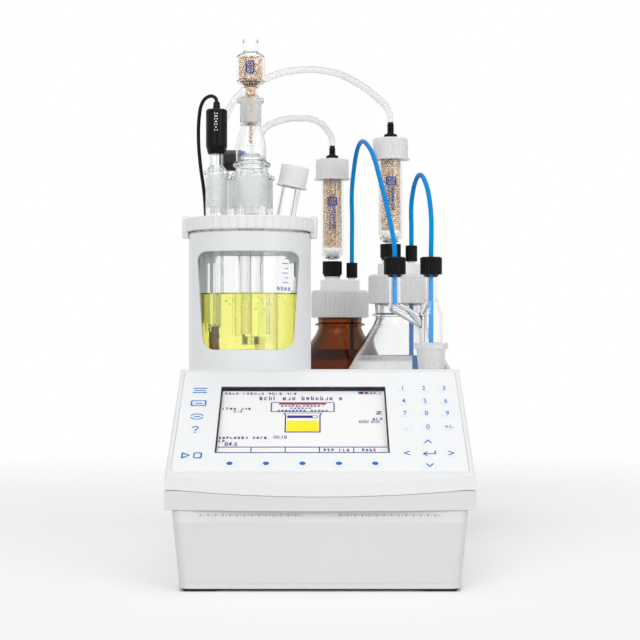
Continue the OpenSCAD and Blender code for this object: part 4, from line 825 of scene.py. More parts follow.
class Modeller:
    """Mesh modelling with Blender's own operators."""

    @staticmethod
    def fresh() -> None:
        """Leaves edit mode and deselects everything."""
        if bpy.context.object is not None and bpy.context.object.mode != "OBJECT":
            bpy.ops.object.mode_set(mode="OBJECT")
        bpy.ops.object.select_all(action="DESELECT")

    @staticmethod
    def named(name: str) -> bpy.types.Object:
        """Names the object just added.

        Args:
            name: its name, and its mesh's.

        Returns:
            The object.
        """
        piece = bpy.context.object
        piece.name = name
        piece.data.name = name
        return piece

    @classmethod
    def alone(cls, piece: bpy.types.Object) -> None:
        """Makes the piece the only one that is selected, and the active one.

        Args:
            piece: the piece.
        """
        cls.fresh()
        piece.select_set(True)
        bpy.context.view_layer.objects.active = piece

    @staticmethod
    def settled() -> None:
        """Moves the active piece's place, turn and size into its mesh."""
        bpy.ops.object.transform_apply(location=True, rotation=True, scale=True)

    @classmethod
    def block(cls, name: str, middle: Vector, size: Point) -> bpy.types.Object:
        """Adds a block, to be shaped further.

        Args:
            name: the piece's name.
            middle: its centre in the shared frame.
            size: its sizes in millimetres.

        Returns:
            The block, with its place in its mesh.
        """
        cls.fresh()
        bpy.ops.mesh.primitive_cube_add(size=1.0, location=(0, 0, 0))
        piece = cls.named(name)
        piece.matrix_world = Matrix.Translation(middle) @ Matrix.Diagonal((*(part * MM for part in size), 1))
        cls.settled()
        return piece

    @classmethod
    def joined(cls, pieces: Sequence[bpy.types.Object]) -> None:
        """Joins the pieces into the first one.

        Args:
            pieces: the pieces.
        """
        cls.alone(pieces[0])
        for piece in pieces[1:]:
            piece.select_set(True)
        bpy.ops.object.join()

    @classmethod
    def turned(
        cls, name: str, profile: Profile, centre: Pair, steps: int = 64, crease: float = 32.0
    ) -> bpy.types.Object:
        """Turns a profile about an upright axis.

        Args:
            name: the piece's name.
            profile: (radius, height) points in millimetres, from the axis back to it or back to the first.
            centre: x and y of the axis in the maker's frame.
            steps: faces round the axis.
            crease: edges sharper than this many degrees stay sharp.

        Returns:
            The piece, with its place in its mesh.
        """
        points = [place(centre[0] + radius, centre[1], height) for radius, height in profile]
        cls.fresh()
        bpy.ops.mesh.primitive_circle_add(vertices=3, radius=0.0001, location=points[0])
        piece = cls.named(name)
        cls.settled()
        bpy.ops.object.mode_set(mode="EDIT")
        bpy.ops.mesh.select_mode(type="VERT")
        bpy.ops.mesh.select_all(action="SELECT")
        bpy.ops.mesh.merge(type="CENTER")
        for start, end in zip(points, points[1:]):
            bpy.ops.mesh.extrude_vertices_move(TRANSFORM_OT_translate={"value": end - start})
        bpy.ops.mesh.select_all(action="SELECT")
        bpy.ops.mesh.spin(steps=steps, angle=2 * math.pi, center=place(*centre, 0), axis=(0, 0, 1))
        cls.tidy()
        bpy.ops.object.mode_set(mode="OBJECT")
        cls.smooth(piece, crease)
        return piece

    @staticmethod
    def tidy() -> None:
        """Merges doubles and turns faces outwards, in edit mode."""
        bpy.ops.mesh.select_all(action="SELECT")
        bpy.ops.mesh.remove_doubles(threshold=1e-6)
        bpy.ops.mesh.normals_make_consistent(inside=False)

    @staticmethod
    def smooth(piece: bpy.types.Object, crease: float) -> None:
        """Shades smooth, with edges over the crease angle kept sharp."""
        Modeller.alone(piece)
        bpy.ops.object.shade_smooth_by_angle(angle=math.radians(crease))

    @staticmethod
    def pick(piece: bpy.types.Object, test: Callable[[bpy.types.MeshPolygon], bool]) -> None:
        """Goes to edit mode with just the faces that pass the test selected.

        Args:
            piece: the piece.
            test: says whether a face is selected.
        """
        Modeller.alone(piece)
        bpy.ops.object.mode_set(mode="EDIT")
        bpy.ops.mesh.select_mode(type="FACE")
        bpy.ops.mesh.select_all(action="DESELECT")
        bpy.ops.object.mode_set(mode="OBJECT")
        for face in piece.data.polygons:
            face.select = test(face)
        bpy.ops.object.mode_set(mode="EDIT")

    @classmethod
    def ribbed(cls, piece: bpy.types.Object, centre: Pair, height: Pair, radius: float, rise: float) -> None:
        """Raises every second face of a cylinder's side as a rib.

        Args:
            piece: a turned piece.
            centre: x and y of its axis in the maker's frame.
            height: lower and upper limit of the side, in millimetres.
            radius: least radius of the side's faces.
            rise: height of a rib, in millimetres.
        """
        axis = place(*centre, 0)
        sides = cls._numbered(piece, axis)

        def is_even(face: bpy.types.MeshPolygon) -> bool:
            """Picks the side faces in even places round the axis.

            Args:
                face: a face of the piece.

            Returns:
                True for such a face.
            """
            out = Vector((face.center.x - axis.x, face.center.y - axis.y, 0))
            upright = abs(face.normal.z) < 0.2 and out.length > radius * MM and out.dot(face.normal) > 0
            return upright and height[0] * MM < face.center.z < height[1] * MM and sides[face.index] % 2 == 0

        cls.pick(piece, is_even)
        bpy.ops.mesh.extrude_region_shrink_fatten(TRANSFORM_OT_shrink_fatten={"value": rise * MM})
        bpy.ops.object.mode_set(mode="OBJECT")

    @staticmethod
    def _numbered(piece: bpy.types.Object, axis: Vector) -> list[int]:
        """Numbers the faces round an axis, in the turning's own steps.

        Args:
            piece: a turned piece.
            axis: a point of its axis.

        Returns:
            The place round the axis of each face.
        """
        ways = [face.center - axis for face in piece.data.polygons]
        angles = [math.atan2(way.y, way.x) % (2 * math.pi) for way in ways]
        distinct = sorted({round(angle, 3) for angle in angles})
        order = {angle: number for number, angle in enumerate(distinct)}
        return [order[round(angle, 3)] for angle in angles]

    @classmethod
    def lettered(cls, body: str, size: float, x: float, t: float, thick: float, tall: float) -> bpy.types.Object:
        """A numeral or sign as a thin solid.

        Args:
            body: the sign.
            size: its size in millimetres.
            x: its middle across the drawing.
            t: its middle up the drawing.
            thick: its thickness in millimetres.
            tall: its stretch up the drawing.

        Returns:
            The solid.
        """
        cls.fresh()
        bpy.ops.object.text_add(location=(0, 0, 0))
        sign = bpy.context.object
        sign.data.body = body
        sign.data.size = size * MM
        sign.data.resolution_u = 3
        sign.data.extrude = thick * MM / 2
        sign.data.offset = size * MM * 0.012
        sign.data.align_x = "CENTER"
        sign.data.align_y = "CENTER"
        bpy.ops.object.convert(target="MESH")
        sign = bpy.context.object
        sign.matrix_world = Matrix.Translation((x * MM, t * MM, 0)) @ Matrix.Diagonal((1, tall, 1, 1))
        cls.settled()
        return sign


UPRIGHT = Matrix.Rotation(math.pi / 2, 4, "X")


class Drawing:
    """Flat marks drawn in millimetres, raised to a thin film and laid on a panel or round a tube."""

    def __init__(self, name: str, thick: float = 0.05, tall: float = 1.6) -> None:
        """Starts a drawing.

        Args:
            name: the piece's name.
            thick: the film's thickness in millimetres.
            tall: the stretch of its signs up the drawing.
        """
        self.name = name
        self.thick = thick
        self.tall = tall
        self.bars: list[tuple[float, float, float, float, float]] = []
        self.dots: list[tuple[float, float, float]] = []
        self.signs: list[tuple[str, float, float, float]] = []

    def bar(self, x: float, t: float, width: float, height: float, turn: float = 0.0) -> None:
        """A bar centred on (x, t), turned by so many degrees."""
        self.bars.append((x, t, width, height, turn))

    def lines(self, corners: Sequence[Pair], width: float) -> None:
        """Straight strokes from corner to corner.

        Args:
            corners: the corners, in order.
            width: width of the strokes.
        """
        for (x0, t0), (x1, t1) in zip(corners, corners[1:]):
            turn = math.degrees(math.atan2(t1 - t0, x1 - x0))
            self.bar((x0 + x1) / 2, (t0 + t1) / 2, math.hypot(x1 - x0, t1 - t0), width, turn)

    def box(self, low: Pair, high: Pair, width: float) -> None:
        """An outlined box."""
        self.lines((low, (high[0], low[1]), high, (low[0], high[1]), low), width)

    def dot(self, x: float, t: float, radius: float) -> None:
        """A filled round dot."""
        self.dots.append((x, t, radius))

    def sign(self, body: str, size: float, x: float, t: float) -> None:
        """A numeral or sign."""
        self.signs.append((body, size, x, t))

    def greeked(
        self, left: float, right: float, t: float, height: float, seed: int, stem: float = 0.75, cap: float = 1.0
    ) -> None:
        """A row of stroked cells that read as a line of small type without being words.

        Args:
            left: where the row starts.
            right: where it ends.
            t: its middle.
            height: height of a cell.
            seed: starts the draw.
            stem: thickness of upright strokes.
            cap: thickness of level strokes.
        """
        draw = random.Random(seed)
        cell = max(2.6, height * 0.62)
        x = left
        since = 0
        while x + cell * 0.7 < right:
            since += 1
            if since > 3 and draw.random() < 0.2:
                since = 0
                x += cell
                continue
            inner = cell * 0.62
            tall = height if draw.random() < 0.35 else height * 0.74
            foot = t - height / 2
            if draw.random() < 0.85:
                self.bar(x + stem / 2, foot + tall / 2, stem, tall)
            if draw.random() < 0.6:
                self.bar(x + inner - stem / 2, foot + height * 0.37, stem, height * 0.74)
            for level in (0.5 * cap, height * 0.37, height * 0.74 - 0.5 * cap):
                if draw.random() < 0.5:
                    self.bar(x + inner / 2, foot + level, inner, cap)
            x += cell

    def lifted(self, level: float, slope: Matrix) -> bpy.types.Object:
        """Builds the drawing as one piece.

        Args:
            level: height over the panel, in millimetres.
            slope: the panel's place in the shared frame.

        Returns:
            The piece, with its place in its mesh.
        """
        Modeller.fresh()
        bpy.ops.mesh.primitive_plane_add(size=0.001, location=(0, 0, 0))
        piece = Modeller.named(self.name)
        bpy.ops.object.mode_set(mode="EDIT")
        bpy.ops.mesh.select_all(action="SELECT")
        bpy.ops.mesh.delete(type="VERT")
        for x, t, width, height, turn in self.bars:
            bpy.ops.mesh.primitive_plane_add(size=1.0, location=(0, 0, 0))
            bpy.ops.transform.resize(value=(width * MM, height * MM, 1), center_override=(0, 0, 0))
            if turn:
                bpy.ops.transform.rotate(value=-math.radians(turn), orient_axis="Z", center_override=(0, 0, 0))
            bpy.ops.transform.translate(value=(x * MM, t * MM, 0))
            bpy.ops.mesh.select_all(action="DESELECT")
        for x, t, radius in self.dots:
            spot = (x * MM, t * MM, 0)
            bpy.ops.mesh.primitive_circle_add(vertices=40, radius=radius * MM, fill_type="NGON", location=spot)
            bpy.ops.mesh.select_all(action="DESELECT")
        if self.bars or self.dots:
            bpy.ops.mesh.select_all(action="SELECT")
            bpy.ops.mesh.extrude_region_move(TRANSFORM_OT_translate={"value": (0, 0, self.thick * MM)})
            bpy.ops.mesh.select_all(action="SELECT")
            bpy.ops.mesh.normals_make_consistent(inside=False)
        bpy.ops.object.mode_set(mode="OBJECT")
        if self.signs:
            Modeller.joined([piece] + [Modeller.lettered(*sign, self.thick, self.tall) for sign in self.signs])
        Modeller.alone(piece)
        piece.matrix_world = slope @ Matrix.Translation((0, 0, level * MM))
        Modeller.settled()
        return piece

    def wrapped(self, centre: Pair, radius: float, height: float) -> bpy.types.Object:
        """Builds the drawing round the front of an upright tube.

        Args:
            centre: x and y of the tube's axis in the maker's frame.
            radius: radius that the marks lie on, in millimetres.
            height: height of the drawing's zero.

        Returns:
            The piece, with its place in its mesh.
        """
        axis = place(*centre, height)
        piece = self.lifted(0.0, Matrix.Translation(axis) @ UPRIGHT)
        for corner in piece.data.vertices:
            across = corner.co.x - axis.x
            corner.co.y -= math.sqrt((radius * MM) ** 2 - across**2)
        return piece


# ---------------------------------------------------------------- studio


@dataclass
class Studio:
    """Camera, lamps, white surroundings and floor, in metres."""

    eye: Point = (-0.007, -1.29575, 0.1724)
    lens: float = 90.0
    shift: float = 10 / 640
    ambient: float = 0.5
    key: float = 0.94
    fill: float = 0.6
    top: float = 0.48
    softness: float = 0.7
    floor_half: float = 3.0
    floor_glow: float = 0.19
    floor_tone: Colour = (0.86, 0.86, 0.865)
    # Painted shadow: the floor's glow is left out over this box under the case.
    painted_shadow_x: Pair = (-0.1, 0.086)
    painted_shadow_y: Pair = (-0.241, 0.05)
    fade: Pair = (0.45, 1.1)
    bounces: int = 26

    def camera(self) -> None:
        """Level camera in front of the instrument."""
        data = bpy.data.cameras.new("studio_camera")
        data.lens = self.lens
        data.sensor_width = 36.0
        data.shift_y = self.shift
        data.clip_end = 50.0
        camera = bpy.data.objects.new("studio_camera", data)
        camera.location = self.eye
        camera.rotation_euler = (math.pi / 2, 0, 0)
        bpy.context.scene.collection.objects.link(camera)
        bpy.context.scene.camera = camera

    def surroundings(self) -> None:
        """World: white to the eye, in gloss and through glass, plain soft light otherwise."""
        world = bpy.data.worlds.new("studio_world")
        graph = Graph(world, "ShaderNodeOutputWorld")
        camera, gloss, glass = (graph.ray(f"Is {kind} Ray") for kind in ("Camera", "Glossy", "Transmission"))
        strength = camera.or_more(gloss).or_more(glass) * (1 - self.ambient) + self.ambient
        graph.shown(graph.node("ShaderNodeBackground", {}, {"Color": PLAIN, "Strength": strength}))
        bpy.context.scene.world = world

    def lamp(self, name: str, towards: Point, strength: float) -> None:
        """A broad soft light that falls evenly from a direction.

        Args:
            name: the lamp's name.
            towards: direction in which the lamp stands.
            strength: its strength.
        """
        data = bpy.data.lights.new(name, "SUN")
        data.energy = strength
        data.angle = self.softness
        lamp = bpy.data.objects.new(name, data)
        lamp.rotation_euler = (-Vector(towards)).to_track_quat("-Z", "Y").to_euler()
        bpy.context.scene.collection.objects.link(lamp)

    def floor(self) -> None:
        """Pale floor that reads white and keeps the contact shadow; under the case its glow is left out, which paints
        shadow there.
        """
        Modeller.fresh()
        bpy.ops.mesh.primitive_plane_add(size=2 * self.floor_half, location=(0, 0, -0.0002))
        floor = Modeller.named("studio_floor")
        Modeller.settled()
        graph = Graph(bpy.data.materials.new("studio_floor"))
        (left, right), (front, back) = self.painted_shadow_x, self.painted_shadow_y
        x, y = graph.axis("X"), graph.axis("Y")
        # Painted shadow: no glow under the case, so the floor reads darker there.
        painted_shadow_zone = x.above(left) * x.below(right) * y.above(front) * y.below(back)
        glow = graph.ray("Is Camera Ray") * (1 - painted_shadow_zone) * self.floor_glow
        lift = graph.node("ShaderNodeEmission", {}, {"Color": PLAIN, "Strength": glow})
        cloth = graph.node("ShaderNodeBsdfDiffuse", {}, {"Color": self.floor_tone})
        both = graph.node("ShaderNodeAddShader", {}, {0: lift.outputs[0], 1: cloth.outputs[0]})
        reach = graph.value("ShaderNodeVectorMath", {"operation": "LENGTH"}, {0: graph.coords()}, "Value")
        graph.blended(reach.step(*self.fade), both, graph.node("ShaderNodeBsdfTransparent", {}, {}))
        floor.data.materials.append(graph.owner)

    def build(self) -> None:
        """Puts up the studio."""
        scene = bpy.context.scene
        scene.view_settings.view_transform = "Standard"
        for limit in ("max_bounces", "transmission_bounces", "transparent_max_bounces"):
            setattr(scene.cycles, limit, self.bounces)
        self.camera()
        self.surroundings()
        self.lamp("key_lamp", (-0.7, -1.85, 1.0), self.key)
        self.lamp("fill_lamp", (1.5, -1.55, 0.7), self.fill)
        self.lamp("top_lamp", (0.1, 0.25, 2.0), self.top)
        self.floor()
        LOG.info("studio is up")


# ---------------------------------------------------------------- hoses


@dataclass
class Route:
    """One hose or cable: its points, thickness and ends."""

    name: str
    node: str
    points: Sequence[Point]
    thick: float
    finish: Finish
    slot: str
    far_end: str = "object"
    with_pieces: tuple[str, ...] = ()
    stiffness: str = "medium"
    steps: int = 6

    def line(self) -> list[Vector]:
        """Works out the smooth curve through the points.

        Returns:
            Its own points, in metres.
        """
        spots = [place(*point) for point in self.points]
        curve: list[Vector] = []
        for number in range(len(spots) - 1):
            a = spots[max(number - 1, 0)]
            b, c = spots[number], spots[number + 1]
            d = spots[min(number + 2, len(spots) - 1)]
            second, third = 2 * a - 5 * b + 4 * c - d, 3 * b - a - 3 * c + d
            for step in range(self.steps):
                t = step / self.steps
                curve.append(0.5 * (2 * b + (c - a) * t + second * t * t + third * t**3))
        curve.append(spots[-1])
        return curve

    def build(self) -> None:
        line = self.line()
        data = bpy.data.curves.new(self.name, "CURVE")
        data.dimensions = "3D"
        data.bevel_depth = self.thick * MM / 2
        data.bevel_resolution = 4
        data.use_fill_caps = True
        spline = data.splines.new("POLY")
        spline.points.add(len(line) - 1)
        for point, spot in zip(spline.points, line):
            point.co = (*spot, 1.0)
        spline.use_smooth = True
        piece = bpy.data.objects.new(self.name, data)
        bpy.context.scene.collection.objects.link(piece)
        settle(piece, self.finish, ROOT_BODY, (self.node,))
        length = sum((b - a).length for a, b in zip(line, line[1:]))
        self.thick * MM


@dataclass
class HoseSet:
    """The blue dosing hoses, the clear air hoses and the detector's cable."""

    blue: float = 4.0
    air: float = 6.0
    cable: float = 2.8

    def routes(self) -> list[Route]:
        """Lists every route, along the points that the solids follow.

        Returns:
            The routes.
        """
        amber_port, clear_port = (29.9, 454.0), (80.8, 370.0)
        left, right = 61.3, 91.0
        amber = [
            (*amber_port, 225), (*amber_port, 233), (29.9, 453.6, 248), (30, 451, 276), (29.6, 445, 298.6),
            (31.2, 432, 320), (33.8, 410, 336), (37.7, 385, 341), (43, 360, 333), (47.3, 340, 320),
            (51, 322, 302), (54.6, 304, 284), (58, 286, 264), (60.6, 272, 247), (left, 266.4, 235),
            (left, 266, 226), (left, 266, 210), (left, 266, 193),
        ]
        clear = [
            (*clear_port, 236.7), (*clear_port, 244.7), (80.8, 369.7, 262), (80.4, 365, 281), (81.6, 354, 295),
            (83.4, 338, 303), (85.6, 322, 305), (88, 304, 299), (90.4, 288, 286), (91.6, 275, 268),
            (91.4, 268, 251), (right, 266.2, 236), (right, 266, 226), (right, 266, 205), (right, 266, 180),
            (right, 266, 150),
        ]
        amber_air = [
            (11.5, 454, 345), (10.9, 453, 352), (7, 449, 358.6), (1, 438, 363.6), (-8, 420, 365.6),
            (-18, 400, 363.5), (-26.4, 382, 361), (-37, 360, 355.5), (-46.5, 340, 348), (-54, 322, 334),
            (-59, 308, 317), (-61.6, 297, 294), (-62, 291.5, 265), (-62, 290, 230), (-62, 290, 190),
            (-62, 290, 165), (-62, 290, 150),
        ]
        clear_air = [
            (62.4, 370, 356), (61.6, 369.4, 363), (58, 367, 370), (51, 362, 376), (42, 356, 382.5),
            (32, 350, 388), (18.6, 340, 393), (4.7, 330, 395), (-12, 320, 394.5), (-30, 309, 390.5),
            (-45, 300, 384), (-58, 294, 377), (-69, 291, 367), (-77.5, 290, 353), (-83, 290, 334),
            (-85.4, 290, 310), (-86, 290, 280), (-86, 290, 240), (-86, 290, 200), (-86, 290, 168),
            (-86, 290, 150),
        ]
        cable = [
            (-79.4, 184, 347.5), (-79.8, 184.3, 349.7), (-81.4, 185.5, 351.6), (-84.4, 186.5, 352.4),
            (-88.5, 188, 350.6), (-91.6, 190, 346), (-93.2, 192, 339), (-94.2, 195, 328), (-94.2, 199, 314),
            (-93, 204, 298), (-91.6, 210, 286), (-91, 218, 275), (-91.6, 236, 262), (-93.5, 256, 240),
            (-95, 272, 214), (-95, 290, 188), (-94, 312, 165), (-90, 335, 146), (-84, 356, 128),
            (-78, 370, 110), (-75, 372, 96), (-75, 364, 87.6), (-75, 351, 85),
        ]
        blue, milky = (self.blue, Palette.blue, "blue_hose"), (self.air, Palette.milky, "air_hose")
        lead = (self.cable, Palette.cable, "cable", "connector", ("detector_plug",))
        return [
            Route("blue_hose_amber", "amber_hose", amber, *blue),
            Route("blue_hose_clear", "clear_hose", clear, *blue),
            Route("air_hose_amber", "amber_air_hose", amber_air, *milky),
            Route("air_hose_clear", "clear_air_hose", clear_air, *milky),
            Route("detector_lead", "detector_cable", cable, *lead),
        ]

    def build(self) -> None:
        """Lays every hose."""
        for route in self.routes():
            route.build()
        dress(Palette.nickel, "detector_plug")
        dress(Palette.dip, "dip_tubes")


# ---------------------------------------------------------------- console


# Rows of strokes that stand for words: left, right, height up the panel, size, seed, stem and cap.
WORD_ROWS = (
    (-68.1, -15.4, 113.0, 3.6, 3, 0.6, 0.9),
    (-43.3, 19.0, 106.4, 5.4, 4, 0.75, 1.0),
    (-69.0, -43.8, 92.4, 3.8, 5, 0.65, 0.95),
    (-27.6, 3.4, 96.0, 2.9, 6, 0.6, 0.8),
    (-21.0, -4.0, 93.0, 2.4, 8, 0.6, 0.8),
    (-30.0, 6.0, 89.9, 2.6, 9, 0.6, 0.8),
    (-69.6, -36.0, 54.2, 4.0, 10, 0.65, 0.95),
    (-69.6, -64.0, 49.8, 3.2, 11, 0.65, 0.9),
    (36.9, 44.8, 78.6, 3.4, 12, 0.65, 0.95),
    (2.6, 20.4, 38.7, 4.2, 13, 0.65, 0.95),
    (28.6, 39.6, 38.7, 4.2, 14, 0.65, 0.95),
    (36.0, 43.0, 113.9, 2.4, 15, 0.5, 0.7),
)


@dataclass
class Console:
    """Housings, keypad panel, display and everything inside and behind them."""

    panel_y: float = 6.647
    panel_z: float = 75.7
    slope: float = 28.6
    key_columns: tuple[float, float, float] = (59.5, 74.6, 89.3)
    key_rows: tuple[float, ...] = (114.0, 96.2, 79.6, 61.6)
    left_keys: tuple[float, ...] = (111.0, 93.4, 75.3, 58.4, 25.8)
    left_x: float = -86.0
    soft_keys: tuple[float, ...] = (-60.3, -36.0, -11.7, 12.6, 36.8)
    soft_t: float = 16.0
    soft_r: float = 2.1
    key_size: float = 5.2
    lift: float = 0.02
    pad_top: float = 0.25
    module_level: float = -5.4
    face_level: float = -3.8
    base_half: float = 93.7
    base_front: float = 10.0
    base_back: float = 309.0
    base_corner: float = 8.0
    skirt_low: float = 1.7
    skirt_high: float = 5.0
    skirt_wall: float = 2.4
    pad_size: Point = (22.0, 12.0, 1.65)
    pad_x: float = 79.5
    pad_inset: float = 7.4
    pad_edge: float = 0.25
    vent_pitch: float = 4.8
    vent_z: float = 50.5
    vent_front: float = 6.2
    face_low: Pair = (-70.2, 30.0)
    face_high: Pair = (46.2, 116.4)
    stroke: float = 1.05

    def panel(self) -> Matrix:
        """The sloped panel's place: x across, y up the slope, z out of it."""
        tilt = Matrix.Rotation(math.radians(self.slope), 4, "X")
        return Matrix.Translation(place(0, self.panel_y, self.panel_z)) @ tilt

    def chevron(self, drawing: Drawing, x: float, t: float, across: int, up: int) -> None:
        """Draws an arrow head of two strokes.

        Args:
            drawing: the drawing that it goes into.
            x: its middle across the panel.
            t: its middle up the panel.
            across: 1 or -1 for an arrow that points right or left, else 0.
            up: 1 or -1 for one that points up or down, else 0.
        """
        for side in (-1, 1):
            foot = (x - across * 1.9 + up * side * 2.3, t - up * 2.0 + across * side * 2.4)
            drawing.lines((foot, (x + across * 1.9, t + up * 2.0)), self.stroke)

    def legends(self) -> None:
        """Numerals and signs of the keypad."""
        ink = Drawing("key_legends")
        names = ("1", "2", "3", "4", "5", "6", "7", "8", "9", ".", "0", "+/-")
        for number, name in enumerate(names):
            ink.sign(name, self.key_size, self.key_columns[number % 3], self.key_rows[number // 3])
        for x, t, across, up in ((73.5, 43.0, 0, 1), (58.7, 28.6, -1, 0), (88.3, 28.6, 1, 0), (73.1, 13.9, 0, -1)):
            self.chevron(ink, x, t, across, up)
        ink.lines(((77.6, 31.6), (77.6, 27.6)), self.stroke)
        ink.lines(((77.9, 27.8), (69.6, 27.8), (72.2, 30.2)), self.stroke)
        ink.lines(((69.6, 27.8), (72.2, 25.4)), self.stroke)
        left, (report, drive, stirring, query, skip) = self.left_x, self.left_keys
        for step, width in ((-2.9, 10.0), (0.0, 8.0), (2.9, 10.0)):
            ink.bar(left, report + step, width, 1.2)
        ink.box((left - 5.0, drive - 3.2), (left + 5.0, drive + 3.2), self.stroke)
        ink.bar(left, drive - 0.4, 5.4, 1.3)
        self.stirring(ink, left, stirring)
        hook = ((-1.9, 1.9), (-1.5, 3.3), (0.0, 3.9), (1.5, 3.3), (1.9, 2.0), (1.2, 0.7), (0.1, -0.3), (0.0, -1.7))
        ink.lines([(left + x, query + t) for x, t in hook], self.stroke)
        ink.bar(left, query - 3.6, 1.3, 1.3)
        for corners in (((-6.6, -3.2), (-6.6, 3.2)), ((-6.8, 3.2), (-1.8, 0.0)), ((-6.8, -3.2), (-1.8, 0.0))):
            ink.lines([(left + x, skip + t) for x, t in corners], self.stroke)
        ink.box((left + 1.4, skip - 3.0), (left + 6.2, skip + 3.0), self.stroke)
        settle(ink.lifted(self.pad_top + self.lift, self.panel()), Palette.legend)
        dots = Drawing("soft_key_dots")
        for x in self.soft_keys:
            dots.dot(x, self.soft_t, self.soft_r)
        settle(dots.lifted(self.pad_top + self.lift, self.panel()), Palette.dot)

    def stirring(self, drawing: Drawing, x: float, t: float) -> None:
        """Draws the stirring sign: two curved strokes with a bar between them.

        Args:
            drawing: the drawing that it goes into.
            x: its middle across the panel.
            t: its middle up the panel.
        """
        for start in (20, 200):
            angles = [math.radians(start + turn) for turn in range(0, 141, 20)]
            drawing.lines([(x + 4.4 * math.cos(angle), t + 3.4 * math.sin(angle)) for angle in angles], self.stroke)
        drawing.bar(x, t, 4.2, 1.3)

    def display(self) -> None:
        """Face of the display with its picture: made-up values, and rows of strokes for words."""
        (left, low), (right, high), over = self.face_low, self.face_high, self.face_level + 0.01
        middle, wide = (left + right) / 2, right - left
        face = Drawing("display_picture_ground", self.face_level - self.module_level - 0.03)
        face.bar(middle, (low + high) / 2, wide, high - low)
        settle(face.lifted(self.module_level + self.lift, self.panel()), Palette.display)
        line = Drawing("display_picture_lines", 0.03, 1.35)
        line.bar(middle, 42.0, wide - 0.8, 1.1)
        line.bar(middle, 35.2, wide - 0.8, 1.0)
        for share in (0.2, 0.4, 0.6, 0.8):
            line.bar(left + share * wide, 38.4, 0.75, 7.0)
        self.beaker(line)
        for start, end, t, height, seed, stem, cap in WORD_ROWS:
            line.greeked(start, end, t, height, seed, stem, cap)
        for text, size, x, t in (
            ("0.14", 3.6, -58.0, 88.2),
            ("00:18", 4.3, -27.5, 54.4),
            ("84.6", 5.4, -60.8, 45.6),
            ("600/ 600", 4.2, 34.4, 74.6),
        ):
            line.sign(text, size, x, t)
        for corners in (((39.5, 88.2), (43.6, 88.2)), ((43.4, 88.2), (39.7, 84.8)), ((39.5, 84.8), (43.8, 84.8))):
            line.lines(corners, 1.0)
        line.box((27.8, 112.4), (43.6, 115.4), 0.6)
        line.bar(29.8, 113.9, 3.0, 2.4)
        settle(line.lifted(over, self.panel()), Palette.screen_line)
        fill = Drawing("display_picture_fill", 0.02)
        fill.bar(-12.1, 69.0, 22.6, 14.4)
        settle(fill.lifted(over, self.panel()), Palette.screen_fill)
        red = Drawing("display_picture_red", 0.035)
        red.bar(-12.4, 98.8, 33.6, 2.5)
        red.bar(33.4, 113.9, 2.6, 2.2)
        settle(red.lifted(over, self.panel()), Palette.screen_red)

    @staticmethod
    def beaker(line: Drawing) -> None:
        """The display's picture of a beaker under a value box.

        Args:
            line: the drawing that it goes into.
        """
        line.box((-34.5, 88.1), (10.0, 100.4), 0.9)
        for corners in (((-25.4, 86.2), (-24.2, 83.6)), ((-24.2, 84.0), (-24.2, 61.4)), ((0.0, 61.4), (0.0, 84.0))):
            line.lines(corners, 0.95)
        line.lines(((0.0, 83.6), (1.2, 86.2)), 0.95)
        line.bar(-12.1, 61.2, 24.9, 1.3)
        line.bar(-12.1, 86.1, 25.4, 0.7)
        line.bar(-14.3, 81.3, 17.4, 3.4)
        line.box((-5.4, 79.8), (-1.9, 82.8), 0.6)

    def skirt(self) -> None:
        """Rim that carries the sides of the base down to just over the bench."""
        front, back, low, high = self.base_front, self.base_back, self.skirt_low, self.skirt_high
        middle = place(0, (front + back) / 2, (low + high) / 2)
        piece = Modeller.block("base_skirt", middle, (2 * self.base_half, back - front, high - low))
        Modeller.pick(piece, lambda face: abs(face.normal.z) > 0.9)
        bpy.ops.mesh.delete(type="FACE")
        bpy.ops.object.mode_set(mode="OBJECT")
        for edge in piece.data.edges:
            ends = [piece.data.vertices[number].co for number in edge.vertices]
            edge.select = abs(ends[0].z - ends[1].z) > 0.001
        bpy.ops.object.mode_set(mode="EDIT")
        bpy.ops.mesh.select_mode(type="EDGE")
        bpy.ops.mesh.bevel(offset=self.base_corner * MM, segments=8)
        bpy.ops.object.mode_set(mode="OBJECT")
        wall = piece.modifiers.new("wall", "SOLIDIFY")
        wall.thickness = self.skirt_wall * MM
        wall.offset = -1
        bpy.ops.object.modifier_apply(modifier=wall.name)
        Modeller.smooth(piece, 30)
        settle(piece, Palette.case_lower)

    def pads(self) -> None:
        """Dark rubber pads under the front corners of the rim."""
        across, deep, high = self.pad_size
        for name, side in (("left", -1), ("right", 1)):
            middle = place(side * self.pad_x, self.base_front + self.pad_inset, high / 2)
            pad = Modeller.block(f"base_pad_{name}", middle, (across, deep, high))
            bpy.ops.object.mode_set(mode="EDIT")
            bpy.ops.mesh.select_all(action="SELECT")
            bpy.ops.mesh.bevel(offset=self.pad_edge * MM, segments=2)
            bpy.ops.object.mode_set(mode="OBJECT")
            settle(pad, Palette.feet)

    def vents(self) -> None:
        """Grey discs in the row of vents, and in the dimples between them."""
        dots = Drawing("vent_dimples", 0.3)
        for start, end in ((-78.4, -11.8), (13.4, 80.3)):
            count = int((end - start) / (self.vent_pitch / 2)) + 1
            for number in range(count):
                dots.dot(start + number * self.vent_pitch / 2, 0, 0.7 if number % 2 == 0 else 0.55)
        front = Matrix.Translation(place(0, self.vent_front, self.vent_z)) @ UPRIGHT
        settle(dots.lifted(-0.1, front), Palette.vent)

